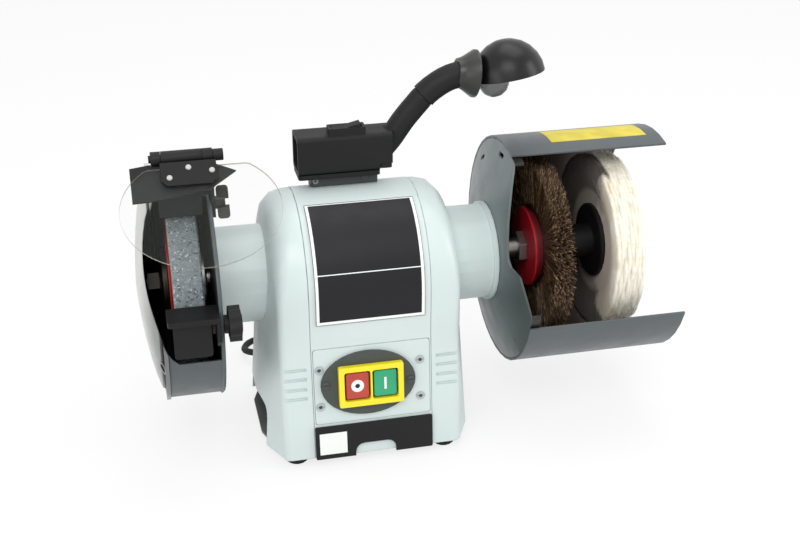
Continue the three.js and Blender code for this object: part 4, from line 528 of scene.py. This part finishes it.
def make_soften():
    group = bpy.data.node_groups.new("soften", "GeometryNodeTree")
    for way in ("INPUT", "OUTPUT"):
        group.interface.new_socket("Geometry", in_out=way, socket_type="NodeSocketGeometry")
    add = group.nodes.new
    start, end = add("NodeGroupInput"), add("NodeGroupOutput")
    bare = add("GeometryNodeRemoveAttribute")
    bare.inputs["Name"].default_value = "custom_normal"
    weld = add("GeometryNodeMergeByDistance")
    weld.inputs["Distance"].default_value = 1e-6
    smooth = add("GeometryNodeSetShadeSmooth")
    smooth.domain = "FACE"
    sharp = add("GeometryNodeSetShadeSmooth")
    sharp.domain = "EDGE"
    sharp.inputs["Shade Smooth"].default_value = False
    bend = add("GeometryNodeInputMeshEdgeAngle")
    over = add("FunctionNodeCompare")
    over.data_type = "FLOAT"
    over.operation = "GREATER_THAN"
    over.inputs["B"].default_value = SHARP_FROM
    join = group.links.new
    join(bend.outputs["Unsigned Angle"], over.inputs["A"])
    join(over.outputs["Result"], sharp.inputs["Selection"])
    for a, b in ((start, bare), (bare, weld), (weld, smooth), (smooth, sharp), (sharp, end)):
        join(a.outputs[0], b.inputs[0])
    return group


soften = make_soften()
slot_of = {s["node"]: s["material_slot"] for s in frame["record"]["subparts"]}


def weighted(obj):
    even = obj.modifiers.new("even", "WEIGHTED_NORMAL")
    even.keep_sharp = True
    even.weight = 100


for name, obj in nodes.items():
    obj.data.materials.clear()
    obj.data.materials.append(materials[RECOLOURED.get(name, slot_of[name])])
    obj.modifiers.new("soften", "NODES").node_group = soften
    weighted(obj)


# Mesh helpers

def add_piece(name, verts, faces, material, body):
    mesh = bpy.data.meshes.new(name)
    mesh.from_pydata([tuple(v) for v in verts], [], faces)
    work = bmesh.new()
    work.from_mesh(mesh)
    bmesh.ops.recalc_face_normals(work, faces=work.faces)
    work.to_mesh(mesh)
    work.free()
    for face in mesh.polygons:
        face.use_smooth = True
    obj = add_object(name, mesh)
    mesh.materials.append(materials[material])
    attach(obj, body)
    return obj


def join_rings(faces, base, around, n):
    """Closes a ring of outlines, n points each, into one skin."""
    for i in range(around):
        a, b = base + i * n, base + (i + 1) % around * n
        faces.extend((a + k, b + k, b + (k + 1) % n, a + (k + 1) % n) for k in range(n))


def tube(verts, faces, path, radii, sides):
    """Appends a closed tube that follows a path of points."""
    start = len(verts)
    side = None
    for i, p in enumerate(path):
        way = (path[min(i + 1, len(path) - 1)] - path[max(i - 1, 0)]).normalized()
        if side is None:
            side = way.orthogonal()
        side = (side - way * side.dot(way)).normalized()
        other = way.cross(side)
        for k in range(sides):
            a = part_turn(k, sides)
            verts.append(p + (side * math.cos(a) + other * math.sin(a)) * radii[i])
    for i in range(len(path) - 1):
        for k in range(sides):
            a, b = start + i * sides + k, start + i * sides + (k + 1) % sides
            faces.append((a, b, b + sides, a + sides))
    faces.append(tuple(range(start, start + sides))[::-1])
    faces.append(tuple(range(len(verts) - sides, len(verts))))


def slab(name, grid, lift, sink, material, body):
    """A thin closed sheet over a grid of (point, normal) found on a solid's surface."""
    rows, columns = len(grid), len(grid[0])
    verts = [p + n * lift for row in grid for p, n in row] + [p - n * sink for row in grid for p, n in row]
    low = rows * columns
    faces = []
    for i in range(rows - 1):
        for j in range(columns - 1):
            a = i * columns + j
            quad = (a, a + 1, a + columns + 1, a + columns)
            faces.append(quad)
            faces.append(tuple(v + low for v in quad[::-1]))
    rim = list(range(columns))
    rim += [i * columns + columns - 1 for i in range(1, rows)]
    rim += [(rows - 1) * columns + j for j in range(columns - 2, -1, -1)]
    rim += [i * columns for i in range(rows - 2, 0, -1)]
    for a, b in zip(rim, rim[1:] + rim[:1]):
        faces.append((a, a + low, b + low, b))
    weighted(add_piece(name, verts, faces, material, body))


def surface_of(node):
    mesh = nodes[node].data
    return BVHTree.FromPolygons([v.co for v in mesh.vertices], [tuple(p.vertices) for p in mesh.polygons])


def steps(a, b, count):
    return [a + (b - a) * i / count for i in range(count + 1)]


# Mains cord: the free stretch, then the coil of the unseen length, in one curve

CORD_RADIUS = 3.0
CORD_LIFT = 3.3
BOOT_TIP = Vector((-73.817, 101.387, 11.202))
CORD_ROUTE = [
    (0, 0, 1), (-2.9, 3, 0.89), (-5.4, 6.4, 0.75), (-7.3, 10.2, 0.61), (-8.5, 14.3, 0.47),
    (-8.7, 18.5, 0.34), (-7.9, 23.2, 0.23), (-6.1, 28.2, 0.15), (-3.1, 33, 0.09), (1.3, 37.1, 0.04),
    (6.3, 39.8, 0.01), (11.6, 41.2, 0), (17.8, 41.6, 0), (25.8, 41.6, 0), (33.8, 41.6, 0),
    (41.8, 41.6, 0), (49.4, 41.6, 0),
]
COIL_OUTER = 47.0
COIL_PITCH = 6.6
COIL_TURNS = 7
COIL_EASE = 0.16
COIL_TAIL = 20.0
COIL_GAP = 0.3
COIL_PARTS = 30
PER_TURN = 2 * math.pi * COIL_OUTER
CLIMB_EARLY, CLIMB_RATE = 0.25, 2


def coil_point(run, centre):
    """Two spirals in one curve: in along the floor, up over its own width, and out on top."""
    u = min(COIL_TURNS, max(0, run))
    half = COIL_TURNS / 2
    back = abs(u - half)
    eased = (back ** 2 / COIL_EASE + COIL_EASE) / 2 if back < COIL_EASE else back
    r = COIL_OUTER - COIL_PITCH * (half - eased)
    climb = min(1, max(0, (u - half + CLIMB_EARLY) * CLIMB_RATE))
    a = -math.pi / 2 + 2 * math.pi * u
    return Vector((
        centre.x + r * math.cos(a) + PER_TURN * (run - u), centre.y + r * math.sin(a),
        CORD_LIFT + COIL_PITCH * climb * climb * (3 - 2 * climb),
    ))


def cord_points():
    free = [
        Vector((BOOT_TIP.x + x, BOOT_TIP.y + y, CORD_LIFT + (BOOT_TIP.z - CORD_LIFT) * share))
        for x, y, share in CORD_ROUTE
    ]
    end = free[-1]
    centre = Vector((end.x + COIL_GAP + 2 * CORD_RADIUS, end.y + COIL_OUTER, 0))
    last = COIL_TURNS + COIL_TAIL / PER_TURN
    wound = [coil_point(u, centre) for u in steps(0.0, last, COIL_TURNS * COIL_PARTS)]
    return [at(*p) for p in free + wound]


def make_cord():
    points = cord_points()
    data = bpy.data.curves.new("mains_cord", "CURVE")
    data.dimensions = "3D"
    data.bevel_depth = CORD_RADIUS * MM
    data.bevel_resolution = 4
    data.use_fill_caps = True
    data.resolution_u = 1
    spline = data.splines.new("POLY")
    spline.points.add(len(points) - 1)
    for point, p in zip(spline.points, points):
        point.co = (*p, 1)
    cord = add_object("mains_cord", data)
    data.materials.append(materials["rubber"])
    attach(cord, "machine")
    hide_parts("cord", "cord_coil")


make_cord()


# Wire brush: crimped strands round a dark core

BRUSH_LEFT, BRUSH_RIGHT, BRUSH_RADIUS = 147.0, 165.0, 74.4
BRUSH_MIDDLE, BRUSH_MARGIN = (BRUSH_LEFT + BRUSH_RIGHT) / 2, 0.3
STRANDS, STRANDS_QUICK = 5200, 1100
STRAND_ROOT, STRAND_RADIUS, STRAND_PARTS = 31, 0.00026, 6
STRAND_UNEVEN, STRAND_LEAN, STRAND_WAVES = 3.4, 2.4, 12
STRAND_CRIMP, STRAND_PHASE = (0.7, 1.7), (0, 6.3)
FAN_ROOT, FAN_GROWTH, FAN_WAVE = 4.6, 3.6, 0.8
CORE_AROUND, CORE_ACROSS, CORE_WIDTH = 96, 6, 9.6
CORE_INNER, CORE_OUTER, CORE_UNEVEN, CORE_CROWN = 30.4, 56, 2.5, 6


def make_strands(luck):
    verts, faces = [], []
    for _ in range(STRANDS):
        spread = luck.uniform(-1, 1)
        a = luck.uniform(0, 2 * math.pi)
        out = Vector((0, math.cos(a), math.sin(a)))
        side = Vector((0, -math.sin(a), math.cos(a)))
        tip = BRUSH_RADIUS - STRAND_UNEVEN * luck.random() ** 2
        lean = luck.gauss(0, STRAND_LEAN)
        wave, phase = luck.uniform(*STRAND_CRIMP), luck.uniform(*STRAND_PHASE)
        path = []
        for t in steps(0, 1, STRAND_PARTS):
            r = STRAND_ROOT + (tip - STRAND_ROOT) * t
            swing = phase + STRAND_WAVES * t
            fan = spread * (FAN_ROOT + FAN_GROWTH * t)
            x = BRUSH_MIDDLE + fan + FAN_WAVE * wave * math.sin(swing) * t
            x = min(BRUSH_RIGHT - BRUSH_MARGIN, max(BRUSH_LEFT + BRUSH_MARGIN, x))
            aside = lean * t + wave * math.cos(swing) * t
            path.append(at(x, 0, AXIS) + (out * r + side * aside) * MM)
        tube(verts, faces, path, [STRAND_RADIUS] * len(path), 3)
    piece = add_piece("wire_strands", verts, faces, "wire", "spindle")
    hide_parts("bristles_upper", "bristles_lower")


def make_core(luck):
    """The dark inside of the brush, where its strands are dense."""
    shares = [j / CORE_ACROSS for j in range(CORE_ACROSS + 1)]
    places = [BRUSH_MIDDLE + (share - 0.5) * CORE_WIDTH for share in shares]
    turns = [part_turn(i, CORE_AROUND) for i in range(CORE_AROUND)]
    verts, faces = [], []
    for a in turns:
        for x, share in zip(places, shares):
            crown = CORE_CROWN * (2 * share - 1) ** 2
            r = CORE_OUTER + luck.uniform(-CORE_UNEVEN, CORE_UNEVEN) - crown
            verts.append(about_axis(x, r, a))
    inner, row = len(verts), len(places)
    verts += [about_axis(x, CORE_INNER, a) for a in turns for x in places]
    # The wire material draws its tone from this order of points and faces.
    for i in range(CORE_AROUND):
        here, there = i * row, (i + 1) % CORE_AROUND * row
        for j in range(CORE_ACROSS):
            a, b = here + j, there + j
            faces.append((a, b, b + 1, a + 1))
            faces.append((a + inner, a + inner + 1, b + inner + 1, b + inner))
        for j in (0, CORE_ACROSS):
            a, b = here + j, there + j
            faces.append((a, b, b + inner, a + inner))
    add_piece("wire_core", verts, faces, "wire", "spindle")


def make_brush():
    luck = random.Random(11)
    make_strands(luck)
    make_core(luck)


make_brush()


# Buff: plies of cloth, pressed flat by the flanges, spreading into a thick ruffled rim

BUFF_PINCHED, BUFF_SPREAD, BUFF_RADIUS = (205.0, 221.0), (199.0, 223.0), 74.0
BUFF_EASE, BUFF_BORE = 0.1, 13.4
SPREAD_FROM, SPREAD_OVER = 40, 20
PLIES, PLY_AROUND = 8, 180
PLY_SHARES = (0.0, 0.3, 0.46, 0.6, 0.72, 0.84, 0.93, 0.98)
PLY_HALF, PLY_THINNING, PLY_FLUTTER, PLY_UNEVEN = 0.56, 0.06, 0.9, 1.3
PLY_SEED, RIM_SEED = 1.3, 4.2
RUFFLES = ((5, 1.0, 0.5), (11, 2.1, 0.35), (23, 3.7, 0.25))
FLUFFS, FLUFFS_QUICK, FLUFF_PARTS = 4200, 800, 3
FLUFF_ROOT, FLUFF_TOP, FLUFF_LONG, FLUFF_LEAN = 70.4, 74.7, (2.2, 4.3), 2.2
FLUFF_MARGIN, FLUFF_EDGE = 1, 0.2
FLUFF_RADII = (0.00022, 0.00018, 0.00014, 0.00007)


def ruffle(a, seed):
    return sum(math.sin(waves * a + shift * seed) * size for waves, shift, size in RUFFLES)


def buff_sides(r):
    """Left and right face of the buff at a radius, a hair inside the drawing's solid."""
    t = min(1, max(0, (r - SPREAD_FROM) / SPREAD_OVER))
    eases = (BUFF_EASE, -BUFF_EASE)
    return [low + (high - low) * t + ease for low, high, ease in zip(BUFF_PINCHED, BUFF_SPREAD, eases)]


def make_plies():
    verts, faces = [], []
    loop = [(-1, s) for s in PLY_SHARES] + [(1, s) for s in reversed(PLY_SHARES)]
    for ply in range(PLIES):
        base = len(verts)
        for i in range(PLY_AROUND):
            a = part_turn(i, PLY_AROUND)
            for way, share in loop:
                flutter = ruffle(a, ply * PLY_SEED) * share ** 3
                rim = BUFF_RADIUS - BUFF_BORE - PLY_UNEVEN * abs(ruffle(a, ply + RIM_SEED))
                r = BUFF_BORE + rim * share
                left, right = buff_sides(r)
                pitch = (right - left) / PLIES
                half = pitch * (PLY_HALF - PLY_THINNING * share ** 6)
                x = left + pitch * (ply + 0.5) + way * half + PLY_FLUTTER * flutter
                verts.append(about_axis(min(right, max(left, x)), r, a))
        join_rings(faces, base, PLY_AROUND, len(loop))
    piece = add_piece("cloth_plies", verts, faces, "cotton", "spindle")
    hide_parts("buff")


def make_fluff(luck):
    verts, faces = [], []
    left, right = BUFF_SPREAD
    for _ in range(FLUFFS):
        a = luck.uniform(0, 2 * math.pi)
        x = luck.uniform(left + FLUFF_MARGIN, right - FLUFF_MARGIN)
        lean, turn = luck.gauss(0, FLUFF_LEAN), luck.gauss(0, FLUFF_LEAN)
        path = []
        for t in steps(0, 1, FLUFF_PARTS):
            r = min(FLUFF_TOP, FLUFF_ROOT + luck.uniform(*FLUFF_LONG) * t)
            b = a + turn * t * t / BUFF_RADIUS
            path.append(about_axis(min(right - FLUFF_EDGE, max(left + FLUFF_EDGE, x + lean * t * t)), r, b))
        tube(verts, faces, path, FLUFF_RADII, 3)
    add_piece("cloth_fluff", verts, faces, "cotton", "spindle")


def make_buff():
    make_plies()
    make_fluff(random.Random(5))


make_buff()


# Printed pieces: a bare plate with its border, bare labels, and the marks on the two buttons

RAY_START = 0.3
PLATE_RADIUS, PLATE_FACING = 0.0665, 0.5
BORDER_LIFT, BORDER_SINK = 0.00012, 0.0002
BORDER_EDGE, BORDER_WIDTH, BORDER_TOP = 42.7, 2.3, 0.0008
BORDER_INSET, RULE_HEIGHT = 0.0004, 0.1637
LABEL_LIFT, LABEL_SINK = 0.00015, 0.0003
IN_FRONT = -200
# From, to and into how many parts: angles up from the front, places across, heights
PLATE_ANGLES, LABEL_ANGLES, LABEL_ACROSS = (-26, 76, 400), (84.5, 105, 10), (161, 242, 8)
BLANK_UP, BLANK_ACROSS = (12.2, 30.6, 3), (-44.5, -22.5, 4)


def cast_inward(skin, x, degrees):
    """Where a ray toward the shaft axis meets a solid; the angle runs up from the front."""
    a = math.radians(degrees)
    way = Vector((0, -math.cos(a), math.sin(a)))
    hit, normal, _, _ = skin.ray_cast(at(x, 0, AXIS) + way * RAY_START, -way)
    return hit, normal, way


def plate_profile():
    """Points and normals up the middle of the rating plate."""
    skin = surface_of("rating_plate")
    profile = []
    for degrees in steps(*PLATE_ANGLES):
        hit, normal, way = cast_inward(skin, 0, degrees)
        if hit and (hit - at(0, 0, AXIS)).length > PLATE_RADIUS and normal.dot(way) > PLATE_FACING:
            profile.append((hit, normal))
    return profile


def make_plate_border():
    profile = plate_profile()
    reach = [0.0]
    for (a, _), (b, _) in zip(profile, profile[1:]):
        reach.append(reach[-1] + (b - a).length)

    def spot(s):
        for i in range(1, len(reach)):
            if reach[i] >= s:
                t = (s - reach[i - 1]) / (reach[i] - reach[i - 1])
                (p, n), (q, m) = profile[i - 1], profile[i]
                return p.lerp(q, t), n.lerp(m, t).normalized()
        return profile[-1]

    def strip(name, x0, x1, s0, s1, parts):
        grid = []
        for s in steps(s0, s1, parts):
            p, n = spot(s)
            grid.append([(Vector((x * MM + SHIFT.x, p.y, p.z)), n) for x in steps(x0, x1, 4)])
        slab(name, grid, BORDER_LIFT, BORDER_SINK, "white_mark", "machine")

    low, high = BORDER_INSET, reach[-1] - BORDER_INSET
    edge, inner = BORDER_EDGE, BORDER_EDGE - BORDER_WIDTH
    rule = reach[min(range(len(profile)), key=lambda i: abs(profile[i][0].z - RULE_HEIGHT))]
    strip("plate_border_left", -edge, -inner, low, high, 60)
    strip("plate_border_right", inner, edge, low, high, 60)
    strip("plate_border_low", -inner, inner, low, low + BORDER_WIDTH * MM, 3)
    strip("plate_border_high", -inner, inner, high - BORDER_TOP, high, 2)
    strip("plate_rule", -inner, inner, rule - BORDER_TOP / 2, rule + BORDER_TOP / 2, 2)


make_plate_border()


def make_blank_label():
    skin = surface_of("base_band")
    grid = []
    for z in steps(*BLANK_UP):
        rays = [skin.ray_cast(at(x, IN_FRONT, z), Vector((0, 1, 0))) for x in steps(*BLANK_ACROSS)]
        grid.append([ray[:2] for ray in rays])
    slab("blank_label", grid, LABEL_LIFT, LABEL_SINK, "white_mark", "machine")


make_blank_label()


def make_guard_label():
    skin = surface_of("drum_shell")
    grid = [
        [cast_inward(skin, x, degrees)[:2] for x in steps(*LABEL_ACROSS)]
        for degrees in steps(*LABEL_ANGLES)
    ]
    slab("guard_label", grid, LABEL_LIFT, LABEL_SINK, "label_yellow", "machine")


make_guard_label()

STOP_MIDDLE, START_MIDDLE, KEY_RISE, KEY_FACE = -13.3, 9.0, 2.0, 6.7
RING_AROUND = 40
RING_OUTLINE = ((1.9, -0.1), (5.12, -0.1), (5.12, 0.4), (4.95, 0.47), (2.05, 0.47), (1.9, 0.4))
BAR_HALF_WIDTH, BAR_HALF_HEIGHT, BAR_LIFT, BAR_SINK = 0.95, 5.05, 0.00045, 0.0001


def make_marks():
    """White ring and bar that cover the raised marks of the two buttons."""
    middle = on_panel(STOP_MIDDLE, KEY_RISE, KEY_FACE)
    verts, faces = [], []
    for i in range(RING_AROUND):
        a = part_turn(i, RING_AROUND)
        way = Vector((1, 0, 0)) * math.cos(a) + PANEL_UP * math.sin(a)
        verts.extend(middle + way * r * MM + PANEL_OUT * h * MM for r, h in RING_OUTLINE)
    join_rings(faces, 0, RING_AROUND, len(RING_OUTLINE))
    add_piece("stop_mark", verts, faces, "white_mark", "stop_key")
    rows = []
    for v in steps(-BAR_HALF_HEIGHT, BAR_HALF_HEIGHT, 2):
        across = steps(-BAR_HALF_WIDTH, BAR_HALF_WIDTH, 2)
        rows.append([(on_panel(START_MIDDLE + u, KEY_RISE + v, KEY_FACE), PANEL_OUT) for u in across])
    slab("start_mark", rows, BAR_LIFT, BAR_SINK, "white_mark", "start_key")


make_marks()


# Small rigid trim that finishes the drawing's solids

def ring_x(name, radii, sides, angles, material):
    """A closed ring sector about the shaft axis; angles are up from the front horizontal."""
    (inner, outer), (x0, x1) = radii, sides
    verts, faces = [], []
    around = 96
    for degrees in steps(*angles, around):
        a = math.radians(degrees)
        for r, x in ((inner, x0), (outer, x0), (outer, x1), (inner, x1)):
            verts.append(at(x, -r * math.cos(a), AXIS + r * math.sin(a)))
    for i in range(around):
        for k in range(4):
            a, b = i * 4 + k, i * 4 + (k + 1) % 4
            faces.append((a, b, b + 4, a + 4))
    faces += [(0, 1, 2, 3), tuple(around * 4 + k for k in (3, 2, 1, 0))]
    add_piece(name, verts, faces, material, "machine")


FLAT_TO = 0.01
EASED_FROM = math.radians(40)


def prism(name, outline, place, low, high, material, body, holes=(), bevel=0.0):
    """Pushes an outline, with holes, between two heights; place() turns (u, v, height) into a point."""
    work = bmesh.new()
    for loop in (outline, *holes):
        ring = [work.verts.new(place(u, v, high)) for u, v in loop]
        for a, b in zip(ring, ring[1:] + ring[:1]):
            work.edges.new((a, b))
    bmesh.ops.triangle_fill(work, use_beauty=True, use_dissolve=False, edges=work.edges[:])
    bmesh.ops.dissolve_limit(work, angle_limit=FLAT_TO, verts=work.verts[:], edges=work.edges[:])
    down = place(0, 0, low) - place(0, 0, high)
    grown = bmesh.ops.extrude_face_region(work, geom=work.faces[:])["geom"]
    bmesh.ops.translate(work, vec=down, verts=[v for v in grown if isinstance(v, bmesh.types.BMVert)])
    bmesh.ops.recalc_face_normals(work, faces=work.faces[:])
    mesh = bpy.data.meshes.new(name)
    work.to_mesh(mesh)
    work.free()
    obj = add_object(name, mesh)
    mesh.materials.append(materials[material])
    if bevel:
        eased = obj.modifiers.new("eased", "BEVEL")
        eased.width, eased.segments, eased.limit_method = bevel * MM, 2, "ANGLE"
        eased.angle_limit = EASED_FROM
    obj.modifiers.new("soften", "NODES").node_group = soften
    weighted(obj)
    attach(obj, body)
    return obj


def rounded_outline(u0, u1, v0, v1, radius, parts=5):
    points = []
    for u, v, start in ((u1, v0, -90), (u1, v1, 0), (u0, v1, 90), (u0, v0, 180)):
        cu = u - math.copysign(radius, u - (u0 + u1) / 2)
        cv = v - math.copysign(radius, v - (v0 + v1) / 2)
        for i in range(parts + 1):
            a = math.radians(start + 90 * i / parts)
            points.append((cu + radius * math.cos(a), cv + radius * math.sin(a)))
    return points


def make_bezel():
    """Yellow frame round the two buttons, with eased edges and two rounded holes."""
    left, right, rise, half_height, corner = -28, 23.7, 1.6, 17, 1.5
    middle, pitch, half_hole, below, above, hole_corner = -2.15, 22.3, 10.4, 12.2, 12.6, 2
    back, face, ease = 3.1, 8.0, 0.6
    holes = []
    for way in (-1, 1):
        across = middle + way * pitch / 2
        sides = across - half_hole, across + half_hole
        holes.append(rounded_outline(*sides, rise - below, rise + above, hole_corner))
    outline = rounded_outline(left, right, rise - half_height, rise + half_height, corner)
    piece = prism(
        "switch_bezel", outline, on_panel, back, face, "yellow", "machine", bevel=ease,
        holes=holes,
    )
    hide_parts("switch_frame")


def make_shield():
    """The clear plate with a smooth outline, cut straight along its top."""
    around, middle, half_width, reach, half_reach, top = 96, -123.75, 57.75, 43, 44, 9.0
    thick, ease = 2.4, 0.3
    points = []
    for i in range(around):
        a = part_turn(i, around)
        points.append((middle + half_width * math.cos(a), max(top, reach + half_reach * math.sin(a))))
    piece = prism("shield_plate", points, on_slope, 0.0, thick, "clear", "shield", bevel=ease)
    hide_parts("eye_shield")


def make_lamp_trim():
    """Lower rim of the lamp's base round its foot, and the step at its right end."""
    front, back, corner = 2.2, 29.8, 2.5
    hollow = rounded_outline(-40.6, 22.9, 4, 28, 1.2)
    for name, left, right, low, high, holes in (
        ("lamp_skirt", -42.4, 23, 215.8, 219.4, [hollow]), ("lamp_step", 22.6, 32.8, 221, 225.2, []),
    ):
        outline = rounded_outline(left, right, front, back, corner)
        prism(name, outline, at, low, high, "black_plastic", "machine", holes=holes)


def make_stop_centre():
    """The dark dot in the stop button's ring."""
    radius, around, back, face = 1.8, 24, 6.6, 6.85
    outline = []
    for i in range(around):
        a = part_turn(i, around)
        outline.append((STOP_MIDDLE + radius * math.cos(a), KEY_RISE + radius * math.sin(a)))
    prism("stop_centre", outline, on_panel, back, face, "dark_steel", "stop_key")


ring_x("guard_seam", (89.1, 89.5), (-158.2, -154.6), (74, 340), "print_black")
make_bezel()
make_shield()
make_lamp_trim()
make_stop_centre()


# Floor, world and lamps

FLOOR_REACH, PAPER_TONE, PAPER_GLOW, GLOW_SHARE = 6, 0.86, 1.04, 0.75
WORLD_LIGHT, WORLD_SEEN = 0.62, 1.0
WHITE = (1, 1, 1, 1)
LAMPS = (
    ("key", (-0.5, -1.5, 1.7), (0, 0, 0.13), (1.3, 1.0), 16),
    ("top", (0.3, 0.3, 1.9), (0, 0, 0.13), (1.5, 1.2), 10),
    ("side", (1.7, -0.7, 0.8), (0, 0, 0.13), (0.8, 1.2), 10),
    ("left", (-1.5, -0.9, 0.6), (0.1, 0, 0.13), (0.9, 0.9), 5),
)


def looked_at(tree):
    """1 for what the camera sees, also by reflection or through glass, 0 for the light that it gives."""
    path = tree.nodes.new("ShaderNodeLightPath")
    seen = path.outputs["Is Camera Ray"]
    for kind in ("Is Glossy Ray", "Is Transmission Ray"):
        step = tree.nodes.new("ShaderNodeMath")
        step.operation = "MAXIMUM"
        tree.links.new(seen, step.inputs[0])
        tree.links.new(path.outputs[kind], step.inputs[1])
        seen = step.outputs[0]
    return seen


def make_floor():
    mesh = bpy.data.meshes.new("floor")
    corners = [(x * FLOOR_REACH, y * FLOOR_REACH, 0) for x, y in ((-1, -1), (1, -1), (1, 1), (-1, 1))]
    mesh.from_pydata(corners, [], [(0, 1, 2, 3)])
    floor = add_object("floor", mesh)
    m = Recipe("floor_paper")
    paper = m.put("ShaderNodeBsdfDiffuse", {"Color": (PAPER_TONE, PAPER_TONE, PAPER_TONE, 1)})
    glow = m.put("ShaderNodeEmission", {"Color": WHITE, "Strength": PAPER_GLOW})
    share = m.maths("MULTIPLY", looked_at(m.tree), GLOW_SHARE)
    both = m.put("ShaderNodeMixShader", {0: share, 1: paper.outputs[0], 2: glow.outputs[0]})
    m.put("ShaderNodeOutputMaterial", {"Surface": both.outputs[0]})
    mesh.materials.append(m.material)


def make_world():
    world = bpy.data.worlds.new("studio")
    bpy.context.scene.world = world
    world.use_nodes = True
    tree = world.node_tree
    tree.nodes.clear()
    mix = tree.nodes.new("ShaderNodeMixShader")
    tree.links.new(looked_at(tree), mix.inputs[0])
    for index, strength in ((1, WORLD_LIGHT), (2, WORLD_SEEN)):
        shader = tree.nodes.new("ShaderNodeBackground")
        shader.inputs["Strength"].default_value = strength
        shader.inputs["Color"].default_value = WHITE
        tree.links.new(shader.outputs[0], mix.inputs[index])
    out = tree.nodes.new("ShaderNodeOutputWorld")
    tree.links.new(mix.outputs[0], out.inputs[0])


def add_lamp(name, place, target, size, power):
    data = bpy.data.lights.new(name, "AREA")
    data.shape = "RECTANGLE"
    data.size, data.size_y = size
    data.energy = power
    lamp = add_object(name, data)
    lamp.location = place
    lamp.rotation_euler = (Vector(target) - Vector(place)).to_track_quat("-Z", "Y").to_euler()


make_floor()
make_world()
for lamp in LAMPS:
    add_lamp(*lamp)
bpy.context.scene.view_settings.view_transform = "Standard"
